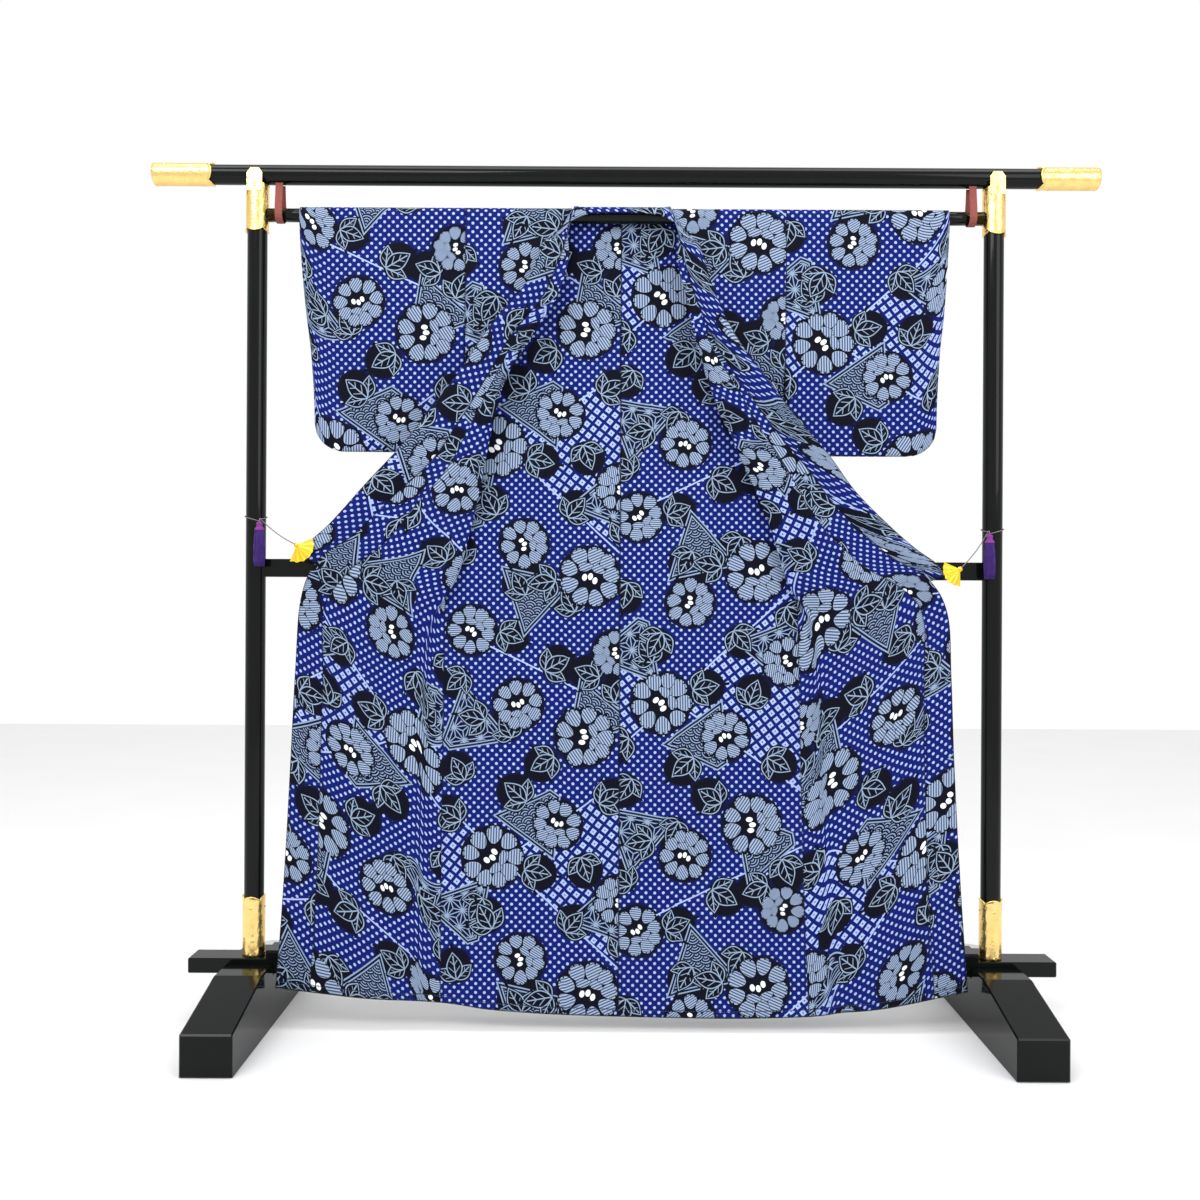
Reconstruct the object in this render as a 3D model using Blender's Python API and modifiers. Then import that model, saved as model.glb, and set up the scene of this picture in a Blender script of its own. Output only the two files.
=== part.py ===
import math

import bmesh
import bpy
from mathutils import Vector

MM = 0.001

# stand sizes, millimetres, row frame: X right, Y away from the viewer, Z up
TOP_Z = 1703.0
TOP_R = 19.5
TOP_HALF = 946.0
RAIL_Z = 1622.0
RAIL_R = 13.45
RAIL_HALF = 719.0
POST_X = 742.0
POST_R = 19.5
BOARD_LOW = 103.0
BOARD_HIGH = 133.0
BOARD_DEEP = 27.5
BOARD_HALF = 865.0
FOOT_HALF_W = 47.5
MID_Z = 911.0
GAP = 0.3

# cloth sizes
WALL = 1.6
DRAPE_R = RAIL_R + 2.2
CENTRE_X = -8.0
TOP_OF_CLOTH = RAIL_Z + DRAPE_R
SLEEVE_IN = 322.8
NECK = {-1: -107.0, 1: 93.0}

LACQUER = (0.012, 0.012, 0.014, 1.0)
METAL = (0.83, 0.58, 0.16, 1.0)
CLOTH = (0.03, 0.06, 0.35, 1.0)
STRAP = (0.30, 0.05, 0.05, 1.0)
CORD = (0.30, 0.24, 0.30, 1.0)
TASSEL = (0.10, 0.02, 0.30, 1.0)

for old in list(bpy.data.objects):
    bpy.data.objects.remove(old, do_unlink=True)

home = bpy.data.collections.new("yukata_on_stand")
bpy.context.scene.collection.children.link(home)
helpers = bpy.data.collections.new("cutters")
bpy.context.scene.collection.children.link(helpers)


def paint(obj, name, colour, metallic, rough):
    mat = bpy.data.materials.new(name)
    mat.use_nodes = True
    shader = mat.node_tree.nodes["Principled BSDF"]
    shader.inputs["Base Color"].default_value = colour
    shader.inputs["Metallic"].default_value = metallic
    shader.inputs["Roughness"].default_value = rough
    mat.diffuse_color = colour
    obj.data.materials.append(mat)


FINISH = {
    "lacquer": (LACQUER, 0.0, 0.15),
    "metal": (METAL, 1.0, 0.3),
    "cloth": (CLOTH, 0.0, 0.9),
    "strap": (STRAP, 0.0, 0.7),
    "cord": (CORD, 0.0, 0.7),
    "tassel": (TASSEL, 0.0, 0.6),
}


def adopt(obj, finish, helper=False, smooth=True):
    """Links a finished object, paints it, and shades it."""
    if helper:
        helpers.objects.link(obj)
        obj.hide_render = True
        obj.display_type = "WIRE"
        return obj
    home.objects.link(obj)
    if smooth:
        obj.data.shade_smooth()
        if finish != "cloth":
            obj.data.set_sharp_from_angle(angle=math.radians(35))
    colour, metallic, rough = FINISH[finish]
    paint(obj, obj.name + "_finish", colour, metallic, rough)
    return obj


def make(name, verts, faces, finish, smooth=True):
    """Loft whose points are worked out by the caller, in millimetres."""
    data = bpy.data.meshes.new(name)
    data.from_pydata([Vector(v) * MM for v in verts], [], faces)
    bm = bmesh.new()
    bm.from_mesh(data)
    bmesh.ops.recalc_face_normals(bm, faces=bm.faces)
    bm.to_mesh(data)
    bm.free()
    return adopt(bpy.data.objects.new(name, data), finish, smooth=smooth)


def from_bmesh(name, bm):
    data = bpy.data.meshes.new(name)
    bm.to_mesh(data)
    bm.free()
    return bpy.data.objects.new(name, data)


def cut(target, cutter, how="DIFFERENCE"):
    mod = target.modifiers.new("cut", "BOOLEAN")
    mod.operation = how
    mod.solver = "EXACT"
    mod.object = cutter


def soften(target, width):
    mod = target.modifiers.new("edge", "BEVEL")
    mod.width = width * MM
    mod.segments = 1
    mod.limit_method = "ANGLE"
    mod.angle_limit = math.radians(40)


def box(name, low, high, finish, helper=False):
    bm = bmesh.new()
    bmesh.ops.create_cube(bm, size=1.0)
    size = Vector(high) - Vector(low)
    bmesh.ops.scale(bm, vec=size * MM, verts=bm.verts)
    obj = from_bmesh(name, bm)
    obj.location = (Vector(low) + Vector(high)) * 0.5 * MM
    return adopt(obj, finish, helper=helper, smooth=False)


def turn_along(obj, axis):
    if axis == "X":
        obj.rotation_euler = (0.0, math.radians(90), 0.0)


def cylinder(name, radius, start, end, axis, centre, finish, sides=28, helper=False):
    """Round bar from start to end along X or Z; centre gives the other two places."""
    bm = bmesh.new()
    bmesh.ops.create_cone(bm, cap_ends=True, segments=sides, radius1=radius * MM,
                          radius2=radius * MM, depth=(end - start) * MM)
    obj = from_bmesh(name, bm)
    turn_along(obj, axis)
    middle = (start + end) / 2
    spot = Vector(centre)
    spot += Vector((middle, 0, 0)) if axis == "X" else Vector((0, 0, middle))
    obj.location = spot * MM
    return adopt(obj, finish, helper=helper)


def plate(name, outline, thick, finish, spot, turn, helper=False):
    """Flat outline given a thickness, made a mesh so that it can be cut or joined."""
    curve = bpy.data.curves.new(name + "_outline", "CURVE")
    curve.dimensions = "2D"
    curve.fill_mode = "BOTH"
    curve.extrude = thick / 2 * MM
    line = curve.splines.new("POLY")
    line.points.add(len(outline) - 1)
    for point, (x, y) in zip(line.points, outline):
        point.co = (x * MM, y * MM, 0.0, 1.0)
    line.use_cyclic_u = True
    guide = bpy.data.objects.new(name + "_outline", curve)
    helpers.objects.link(guide)
    deps = bpy.context.evaluated_depsgraph_get()
    data = bpy.data.meshes.new_from_object(guide.evaluated_get(deps))
    bpy.data.objects.remove(guide, do_unlink=True)
    data.name = name
    bm = bmesh.new()
    bm.from_mesh(data)
    bmesh.ops.remove_doubles(bm, verts=bm.verts, dist=0.00001)
    bmesh.ops.recalc_face_normals(bm, faces=bm.faces)
    bm.to_mesh(data)
    bm.free()
    obj = bpy.data.objects.new(name, data)
    obj.location = Vector(spot) * MM
    obj.rotation_euler = turn
    return adopt(obj, finish, helper=helper, smooth=False)


def metal_sleeve(name, axis, centre, inner, wall, start, end, wave, lobes, closed=False):
    """Thin metal sleeve whose far rim rises and falls round the bar."""
    bm = bmesh.new()
    length = abs(end - start)
    mid = inner + wall / 2
    bmesh.ops.create_cone(bm, cap_ends=closed, segments=24, radius1=mid * MM, radius2=mid * MM,
                          depth=length * MM)
    toward = 1.0 if end > start else -1.0
    for vert in bm.verts:
        if vert.co.z * toward > 0:
            a = math.atan2(vert.co.y, vert.co.x)
            swing = abs(math.cos(lobes * a / 2)) ** 0.7
            vert.co.z -= toward * wave * (1.0 - swing) * MM
    if closed:
        far = [f for f in bm.faces if len(f.verts) > 4 and f.calc_center_median().z * toward > 0]
        bmesh.ops.delete(bm, geom=far, context="FACES_ONLY")
    obj = from_bmesh(name, bm)
    turn_along(obj, axis)
    spot = Vector(centre)
    middle = (start + end) / 2
    spot += Vector((middle, 0, 0)) if axis == "X" else Vector((0, 0, middle))
    obj.location = spot * MM
    skin = obj.modifiers.new("wall", "SOLIDIFY")
    skin.thickness = wall * MM
    skin.offset = 0.0
    skin.use_even_offset = True
    return adopt(obj, "metal")


def smooth_step(t):
    t = max(0.0, min(1.0, t))
    return t * t * (3 - 2 * t)


def table_value(rows, key, column, at):
    """Value of a column at a key, eased between the rows of a short table."""
    ordered = sorted(rows, key=lambda r: r[key])
    if at <= ordered[0][key]:
        return ordered[0][column]
    for low, high in zip(ordered, ordered[1:]):
        if at <= high[key]:
            t = (at - low[key]) / (high[key] - low[key])
            return low[column] + t * (high[column] - low[column])
    return ordered[-1][column]


def spline(points, t):
    """Catmull-Rom through points, t from 0 to 1."""
    n = len(points) - 1
    s = min(max(t, 0.0), 1.0) * n
    i = min(int(s), n - 1)
    f = s - i
    p1 = points[i]
    p2 = points[i + 1]
    p0 = points[i - 1] if i > 0 else p1 * 2 - p2
    p3 = points[i + 2] if i + 2 <= n else p2 * 2 - p1
    return 0.5 * ((2 * p1) + (p2 - p0) * f + (2 * p0 - 5 * p1 + 4 * p2 - p3) * f * f
                  + (3 * p1 - p0 - 3 * p2 + p3) * f * f * f)


def split_quads(points, quads):
    """Triangles by the shorter diagonal, so both sides of a wall share them."""
    out = []
    for a, b, c, d in quads:
        if (points[a] - points[c]).length <= (points[b] - points[d]).length:
            out += [(a, b, c), (a, c, d)]
        else:
            out += [(a, b, d), (b, c, d)]
    return out


def cloth_wall(name, points, quads, thick, finish="cloth"):
    """Cloth wall: an open sheet of middle points given its thickness both ways."""
    obj = make(name, [tuple(p) for p in points], split_quads(points, quads), finish)
    wall = obj.modifiers.new("wall", "SOLIDIFY")
    wall.thickness = thick * MM
    wall.offset = 0.0
    wall.use_even_offset = False
    return obj


def shell(name, grid, thick, finish="cloth", wrap=False):
    cols = len(grid[0])
    points = [p for line in grid for p in line]
    quads = []
    for r in range(len(grid) - 1):
        for c in range(cols if wrap else cols - 1):
            d = (c + 1) % cols
            quads.append((r * cols + c, r * cols + d, (r + 1) * cols + d, (r + 1) * cols + c))
    return cloth_wall(name, points, quads, thick, finish)


# depth of the back panel below the bar: it passes in front of the middle rail
BACK_DEPTH = [
    {"z": 1622, "y": 14.6}, {"z": 1500, "y": 12.0}, {"z": 1350, "y": 7.0}, {"z": 1200, "y": 1.0},
    {"z": 1060, "y": -9.0}, {"z": 960, "y": -16.5}, {"z": 860, "y": -18.0}, {"z": 500, "y": -32.0},
    {"z": 200, "y": -46.0}, {"z": 20, "y": -56.0},
]

# side edge of the body, the same for its back and its front
SIDE_EDGE = [
    {"z": 1640, -1: -320.5, 1: 320.5}, {"z": 1250, -1: -320.0, 1: 320.0},
    {"z": 1130, -1: -319.0, 1: 319.0}, {"z": 1000, -1: -348.0, 1: 336.0},
    {"z": 800, -1: -358.0, 1: 347.0}, {"z": 400, -1: -359.0, 1: 354.0}, {"z": 20, -1: -357.0, 1: 366.0},
]

# bottom edge of the whole robe, by distance from the centre seam
HEM = [
    {"x": -700, "z": 84}, {"x": -610, "z": 73}, {"x": -520, "z": 66}, {"x": -357, "z": 57},
    {"x": -240, "z": 42}, {"x": -120, "z": 35}, {"x": -8, "z": 32}, {"x": 200, "z": 29},
    {"x": 366, "z": 33}, {"x": 470, "z": 48}, {"x": 570, "z": 56}, {"x": 640, "z": 74},
    {"x": 700, "z": 84},
]

# hanging folds of the back: place along the half width at top and bottom, extent, breadth, height
BACK_FOLDS = [
    {"side": -1, "top": 0.62, "low": 0.40, "z_top": 1560, "z_low": 300, "wide": 0.10, "high": 7},
    {"side": -1, "top": 0.30, "low": 0.22, "z_top": 1500, "z_low": 60, "wide": 0.12, "high": 5},
    {"side": -1, "top": 0.85, "low": 0.78, "z_top": 1100, "z_low": 40, "wide": 0.12, "high": 5},
    {"side": 1, "top": 0.55, "low": 0.42, "z_top": 1540, "z_low": 260, "wide": 0.11, "high": 7},
    {"side": 1, "top": 0.22, "low": 0.18, "z_top": 1450, "z_low": 60, "wide": 0.12, "high": 5},
    {"side": 1, "top": 0.80, "low": 0.72, "z_top": 1050, "z_low": 40, "wide": 0.13, "high": 5},
]

# the open fronts, one row per level: height at the side edge and at the front edge, the
# farthest reach of the roll toward the centre, the lapel's middle, its front edge, and depths
FRONT_ROWS = {
    -1: [
        {"zs": 1585, "zc": 1584, "roll": -128, "lap": -120, "edge": -115.0,
         "yu": -16, "yr": -17, "yl": -20, "yc": -22},
        {"zs": 1525, "zc": 1525, "roll": -121, "lap": -125, "edge": -134,
         "yu": -17, "yr": -23, "yl": -30, "yc": -34},
        {"zs": 1445, "zc": 1450, "roll": -143, "lap": -150, "edge": -165,
         "yu": -17, "yr": -26, "yl": -36, "yc": -40},
        {"zs": 1350, "zc": 1372, "roll": -192, "lap": -200, "edge": -226,
         "yu": -17, "yr": -28, "yl": -40, "yc": -44},
        {"zs": 1255, "zc": 1286, "roll": -242, "lap": -250, "edge": -276,
         "yu": -14, "yr": -28, "yl": -42, "yc": -46},
        {"zs": 1160, "zc": 1200, "roll": -266, "lap": -286, "edge": -328,
         "yu": -14, "yr": -29, "yl": -44, "yc": -48},
        {"zs": 1070, "zc": 1121, "roll": -284, "lap": -322, "edge": -383,
         "yu": -20, "yr": -33, "yl": -46, "yc": -50},
        {"zs": 985, "zc": 1053, "roll": -304, "lap": -368, "edge": -455,
         "yu": -26, "yr": -37, "yl": -47, "yc": -50},
        {"zs": 890, "zc": 975, "roll": -336, "lap": -425, "edge": -535,
         "yu": -29, "yr": -38, "yl": -46, "yc": -50},
        {"zs": 810, "zc": 926, "roll": -388, "lap": -480, "edge": -604,
         "yu": -27, "yr": -35, "yl": -44, "yc": -50},
        {"zs": 730, "zc": 850, "roll": -410, "lap": -500, "edge": -640,
         "yu": -25, "yr": -30, "yl": -38, "yc": -40},
        {"zs": 620, "zc": 720, "roll": -415, "lap": -505, "edge": -652,
         "yu": -29, "yr": -32, "yl": -36, "yc": -34},
        {"zs": 480, "zc": 560, "roll": -418, "lap": -510, "edge": -660,
         "yu": -34, "yr": -36, "yl": -38, "yc": -34},
        {"zs": 330, "zc": 390, "roll": -420, "lap": -512, "edge": -668,
         "yu": -41, "yr": -42, "yl": -43, "yc": -36},
        {"zs": 180, "zc": 220, "roll": -420, "lap": -514, "edge": -676,
         "yu": -48, "yr": -49, "yl": -50, "yc": -42},
        {"zs": 57, "zc": 84, "roll": -420, "lap": -516, "edge": -684,
         "yu": -54, "yr": -55, "yl": -56, "yc": -48},
    ],
    1: [
        {"zs": 1585, "zc": 1584, "roll": 116, "lap": 108, "edge": 104.0,
         "yu": -16, "yr": -17, "yl": -20, "yc": -22},
        {"zs": 1525, "zc": 1522, "roll": 112, "lap": 113, "edge": 117,
         "yu": -17, "yr": -23, "yl": -30, "yc": -34},
        {"zs": 1445, "zc": 1440, "roll": 129, "lap": 131, "edge": 142,
         "yu": -17, "yr": -26, "yl": -36, "yc": -40},
        {"zs": 1350, "zc": 1343, "roll": 150, "lap": 158, "edge": 186,
         "yu": -17, "yr": -28, "yl": -40, "yc": -44},
        {"zs": 1255, "zc": 1262, "roll": 174, "lap": 192, "edge": 242,
         "yu": -14, "yr": -28, "yl": -42, "yc": -46},
        {"zs": 1160, "zc": 1181, "roll": 212, "lap": 240, "edge": 300,
         "yu": -14, "yr": -29, "yl": -44, "yc": -48},
        {"zs": 1070, "zc": 1106, "roll": 252, "lap": 292, "edge": 363,
         "yu": -20, "yr": -33, "yl": -46, "yc": -50},
        {"zs": 985, "zc": 1027, "roll": 290, "lap": 345, "edge": 424,
         "yu": -26, "yr": -37, "yl": -47, "yc": -50},
        {"zs": 890, "zc": 940, "roll": 326, "lap": 415, "edge": 522,
         "yu": -29, "yr": -38, "yl": -46, "yc": -50},
        {"zs": 810, "zc": 895, "roll": 378, "lap": 470, "edge": 598,
         "yu": -27, "yr": -35, "yl": -44, "yc": -50},
        {"zs": 730, "zc": 825, "roll": 398, "lap": 490, "edge": 640,
         "yu": -25, "yr": -30, "yl": -38, "yc": -40},
        {"zs": 620, "zc": 710, "roll": 405, "lap": 496, "edge": 650,
         "yu": -29, "yr": -32, "yl": -36, "yc": -34},
        {"zs": 480, "zc": 555, "roll": 412, "lap": 505, "edge": 656,
         "yu": -34, "yr": -36, "yl": -38, "yc": -34},
        {"zs": 330, "zc": 388, "roll": 420, "lap": 512, "edge": 664,
         "yu": -41, "yr": -42, "yl": -43, "yc": -36},
        {"zs": 180, "zc": 220, "roll": 426, "lap": 518, "edge": 672,
         "yu": -48, "yr": -49, "yl": -50, "yc": -42},
        {"zs": 33, "zc": 84, "roll": 430, "lap": 522, "edge": 681,
         "yu": -56, "yr": -57, "yl": -58, "yc": -48},
    ],
}

# breadth of the overlap panel inside the front edge, by height at the front edge
OVERLAP = [
    {"z": 84, "wide": 68}, {"z": 390, "wide": 64}, {"z": 560, "wide": 60}, {"z": 720, "wide": 56},
    {"z": 850, "wide": 48}, {"z": 926, "wide": 62}, {"z": 975, "wide": 60}, {"z": 1053, "wide": 48},
    {"z": 1121, "wide": 36}, {"z": 1200, "wide": 24}, {"z": 1286, "wide": 15}, {"z": 1372, "wide": 9},
]

# drape lines on the turned-out front: first and last row, place across at each, breadth, height
DRAPES = [
    {"side": -1, "from": 3, "to": 11, "top": 0.62, "low": 0.42, "wide": 0.085, "high": 8},
    {"side": -1, "from": 4, "to": 12, "top": 0.78, "low": 0.60, "wide": 0.080, "high": 7},
    {"side": -1, "from": 6, "to": 13, "top": 0.88, "low": 0.74, "wide": 0.070, "high": 6},
    {"side": -1, "from": 9, "to": 17, "top": 0.30, "low": 0.34, "wide": 0.06, "high": 5},
    {"side": -1, "from": 9, "to": 17, "top": 0.55, "low": 0.62, "wide": 0.06, "high": 5},
    {"side": 1, "from": 3, "to": 11, "top": 0.60, "low": 0.40, "wide": 0.085, "high": 8},
    {"side": 1, "from": 4, "to": 12, "top": 0.76, "low": 0.58, "wide": 0.080, "high": 7},
    {"side": 1, "from": 6, "to": 13, "top": 0.90, "low": 0.76, "wide": 0.070, "high": 6},
    {"side": 1, "from": 9, "to": 17, "top": 0.28, "low": 0.32, "wide": 0.06, "high": 5},
    {"side": 1, "from": 9, "to": 17, "top": 0.58, "low": 0.64, "wide": 0.06, "high": 5},
]


def hem_at(x):
    return table_value(HEM, "x", "z", x)


def back_y(z):
    return table_value(BACK_DEPTH, "z", "y", z)


def side_x(side, z):
    return table_value(SIDE_EDGE, "z", side, z)


def bump(t):
    return math.cos(t * math.pi / 2) ** 2 if abs(t) < 1 else 0.0


def back_point(side, z, u):
    """Middle of the back wall: u is 0 at the centre seam and 1 at the side edge."""
    inner = CENTRE_X + side * 0.25
    x = inner + u * (side_x(side, z) - inner)
    y = back_y(z)
    for fold in BACK_FOLDS:
        if fold["side"] != side:
            continue
        if not fold["z_low"] < z < fold["z_top"]:
            continue
        t = (fold["z_top"] - z) / (fold["z_top"] - fold["z_low"])
        at = fold["top"] + t * (fold["low"] - fold["top"])
        fade = smooth_step(t * 5) * smooth_step((1 - t) * 4 + 0.35)
        room = smooth_step((RAIL_Z - 30 - z) / 200)
        y -= fold["high"] * fade * room * bump((u - at) / fold["wide"])
    return Vector((x, y, z))


def back_grid(side, columns, rows):
    """From the top of the bar down the back, the neck hole left open at the top."""
    grid = []
    us = [c / columns for c in range(columns + 1)]
    arc = [90, 62, 34, 8]
    for degrees in arc:
        a = math.radians(degrees)
        line = []
        for u in us:
            inner = CENTRE_X + side * 0.25
            x = inner + u * (side_x(side, 1630) - inner)
            line.append(Vector((x, DRAPE_R * math.cos(a), RAIL_Z + DRAPE_R * math.sin(a))))
        grid.append(line)
    for r in range(1, rows + 1):
        t = r / rows
        line = []
        for u in us:
            foot = hem_at(CENTRE_X + u * (side_x(side, 50) - CENTRE_X))
            z = 1616 + t * (foot - 1616)
            line.append(back_point(side, z, u))
        grid.append(line)
    return grid


def front_controls(side):
    """Rows of control points from the side edge round the roll to the front edge."""
    rows = []
    for z, y in ((TOP_OF_CLOTH, 0.0), (RAIL_Z + DRAPE_R * 0.71, -DRAPE_R * 0.71), (RAIL_Z, -DRAPE_R)):
        sx = side_x(side, z)
        nx = NECK[side] + side * 0.6
        rows.append([Vector((sx + t * (nx - sx), y, z)) for t in (0.0, 0.45, 0.82, 0.93, 1.0)])
    for row in FRONT_ROWS[side]:
        zs = row["zs"]
        if zs > 1300:
            sy = -15.4 + 3.5 * smooth_step((1585 - zs) / 300)
        else:
            near = smooth_step((760 - zs) / 120)
            sy = back_y(zs) - 3.0 + 2.7 * near
            if zs > 1200:
                sy -= 3.0
        sx = side_x(side, zs) + side * 1.4 * smooth_step((900 - zs) / 120)
        zc = row["zc"]
        mid = sx + 0.52 * (row["roll"] - sx)
        steps = [abs(mid - sx), abs(row["roll"] - mid), abs(row["lap"] - row["roll"]) + 8,
                 abs(row["edge"] - row["lap"])]
        total = sum(steps)
        run = 0.0
        zz = [zs]
        for step in steps:
            run += step
            zz.append(zs + (zc - zs) * run / total)
        if zs < 700:
            zz = [hem_mix(zs, zc, x, side) for x in (sx, mid, row["roll"], row["lap"], row["edge"])]
        rows.append([
            Vector((sx, sy, zz[0])), Vector((mid, 0.4 * sy + 0.6 * row["yu"], zz[1])),
            Vector((row["roll"], row["yr"], zz[2])), Vector((row["lap"], row["yl"], zz[3])),
            Vector((row["edge"], row["yc"], zz[4])),
        ])
    return rows


def hem_mix(zs, zc, x, side):
    """Level of a low row at a given place, so the last row follows the hem."""
    rows = FRONT_ROWS[side]
    low = smooth_step((700 - zs) / 600)
    a = abs(side_x(side, zs))
    b = abs(rows[-1]["edge"])
    flat = zs + (zc - zs) * (abs(x) - a) / (b - a)
    return (1 - low) * flat + low * (hem_at(x) + (zs - rows[-1]["zs"]))


def front_surface(side, rows_out, columns):
    controls = front_controls(side)
    count = len(controls)
    grid = []
    for r in range(rows_out + 1):
        v = r / rows_out
        across = []
        for k in range(5):
            line = [controls[i][k] for i in range(count)]
            across.append(spline(line, v))
        index = v * (count - 1)
        line = []
        for c in range(columns + 1):
            t = c / columns
            p = spline(across, t)
            push = 0.0
            for fold in DRAPES:
                if fold["side"] != side or not fold["from"] < index < fold["to"]:
                    continue
                f = (index - fold["from"]) / (fold["to"] - fold["from"])
                at = fold["top"] + f * (fold["low"] - fold["top"])
                fade = smooth_step(f * 3) * smooth_step((1 - f) * 3)
                push += fold["high"] * fade * bump((t - at) / fold["wide"] / 1.6)
            p = p + Vector((0, -push, 0))
            line.append(p)
        grid.append(line)
    return grid, count


def between(a, b, f):
    return a + (b - a) * f


def resample(line, count, first=0.0, last=None):
    """Even points along a row between two distances."""
    lengths = [0.0]
    for a, b in zip(line, line[1:]):
        lengths.append(lengths[-1] + (b - a).length)
    last = lengths[-1] if last is None else last
    out = []
    for i in range(count + 1):
        want = first + (last - first) * i / count
        k = 1
        while k < len(line) - 1 and lengths[k] < want:
            k += 1
        span = lengths[k] - lengths[k - 1]
        f = (want - lengths[k - 1]) / span if span > 0 else 0.0
        out.append(between(line[k - 1], line[k], f))
    return out, lengths[-1]


BACK_COLUMNS = 9
BACK_ROWS = 18
FRONT_COLUMNS = 12
UNDER_COLUMNS = 4
FRONT_LINES = 30
FINE = 90
SEAM = 0.5

collar_seam = {}
for side, word in ((-1, "left"), (1, "right")):
    fine, count = front_surface(side, FRONT_LINES, FINE)
    back = back_grid(side, BACK_COLUMNS, BACK_ROWS)
    body_rows = []
    overlap_rows = []
    seam_line = []
    for line in fine:
        total = resample(line, 1)[1]
        level = line[-1].z
        seam_line.append(line[-1])
        # the under layer keeps its own columns, so one column runs along the roll
        half = FINE // 2
        under = [line[round(half * c / UNDER_COLUMNS)] for c in range(UNDER_COLUMNS)]
        lapel = line[half:]
        lap_total = resample(lapel, 1)[1]
        if level < 1380:
            wide = table_value(OVERLAP, "z", "wide", level)
            overlap_rows.append(resample(line, 5, total - wide, total - SEAM)[0])
        else:
            wide = 0.0
        over = resample(lapel, FRONT_COLUMNS - UNDER_COLUMNS, 0.0, lap_total - wide - SEAM)[0]
        body_rows.append(under + over)
    collar_seam[side] = seam_line
    shell("overlap_" + word, overlap_rows, WALL)

    # one sheet over the bar: front columns meet the back's at the shoulder, past the neck hole
    shoulder = body_rows[0]
    full = []
    for line in back[1:]:
        side_to_neck = []
        for p in shoulder:
            u = (p.x - CENTRE_X - side * 0.25) / (side_x(side, 1630) - CENTRE_X - side * 0.25)
            u = min(max(u, 0.0), 1.0)
            side_to_neck.append(spline(line, u))
        full.append((side_to_neck, line))
    verts = []
    index = {}

    def put(key, p):
        index[key] = len(verts)
        verts.append(p)

    for r, line in enumerate(body_rows):
        for c, p in enumerate(line):
            put(("f", r, c), p)
    inner_steps = 4
    for r, (outer, line) in enumerate(full):
        for c, p in enumerate(outer):
            put(("b", r, c), p)
        u_neck = (shoulder[-1].x - CENTRE_X - side * 0.25) / (side_x(side, 1630) - CENTRE_X - side * 0.25)
        for s in range(1, inner_steps + 1 if r > 0 else 1):
            u = u_neck * (1 - s / inner_steps)
            put(("b", r, FRONT_COLUMNS + s), spline(line, u))
    faces = []
    for r in range(len(body_rows) - 1):
        for c in range(FRONT_COLUMNS):
            faces.append((index["f", r, c], index["f", r, c + 1],
                          index["f", r + 1, c + 1], index["f", r + 1, c]))
    for c in range(FRONT_COLUMNS):
        faces.append((index["f", 0, c + 1], index["f", 0, c], index["b", 0, c], index["b", 0, c + 1]))
    for r in range(len(full) - 1):
        for c in range(FRONT_COLUMNS + inner_steps if r > 0 else FRONT_COLUMNS):
            faces.append((index["b", r, c + 1], index["b", r, c],
                          index["b", r + 1, c], index["b", r + 1, c + 1]))
    cloth_wall("body_" + word, verts, faces, WALL)

# sleeves: a flat bag hung over the bar, rounded at its outer lower corner
SLEEVES = {
    -1: {"top": 654.0, "low": 624.0, "bottom": 1146.0, "corner": 62.0},
    1: {"top": 648.0, "low": 627.0, "bottom": 1142.0, "corner": 60.0},
}
for side, word in ((-1, "left"), (1, "right")):
    spec = SLEEVES[side]
    grid = []
    steps = 9
    for s in range(steps + 1):
        t = s / steps
        t = 1 - (1 - t) ** 1.35
        reach_top = SLEEVE_IN + t * (spec["top"] - SLEEVE_IN)
        reach_low = SLEEVE_IN + t * (spec["low"] - SLEEVE_IN)
        corner = spec["corner"]
        over = max(0.0, (reach_low - (spec["low"] - corner)) / corner)
        rise = corner * (1 - math.sqrt(max(0.0, 1 - min(over, 1.0) ** 2)))
        floor = spec["bottom"] + rise * 0.92
        loop = []

        def where(y, z):
            f = (TOP_OF_CLOTH - z) / (TOP_OF_CLOTH - spec["bottom"])
            x = side * (reach_top + (reach_low - reach_top) * smooth_step(f * 1.1))
            wave = 2.0 * math.sin(x * 0.021 + 1.0) * smooth_step((1560 - z) / 200)
            return Vector((x, y - wave, z))

        def half_gap(z):
            f = smooth_step((RAIL_Z - z) / (RAIL_Z - spec["bottom"]))
            g = DRAPE_R + (5.5 - DRAPE_R) * f
            shut = smooth_step((reach_low - spec["low"] + 60) / 60) * smooth_step((1430 - z) / 90)
            return g + (2.2 - g) * shut

        for degrees in (0, 36, 72, 108, 144, 180):
            a = math.radians(degrees)
            loop.append(where(-DRAPE_R * math.cos(a), RAIL_Z + DRAPE_R * math.sin(a)))
        falls = 7
        for i in range(1, falls + 1):
            z = RAIL_Z + (floor + 4 - RAIL_Z) * i / falls
            loop.append(where(half_gap(z), z))
        loop.append(where(0.0, floor))
        for i in range(falls, 0, -1):
            z = RAIL_Z + (floor + 4 - RAIL_Z) * i / falls
            loop.append(where(-half_gap(z), z))
        grid.append(loop)
    shell("sleeve_" + word, grid, WALL, wrap=True)

# collar: a folded band from the left front edge round the neck to the right one
COLLAR_WALL = 2.0
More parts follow.
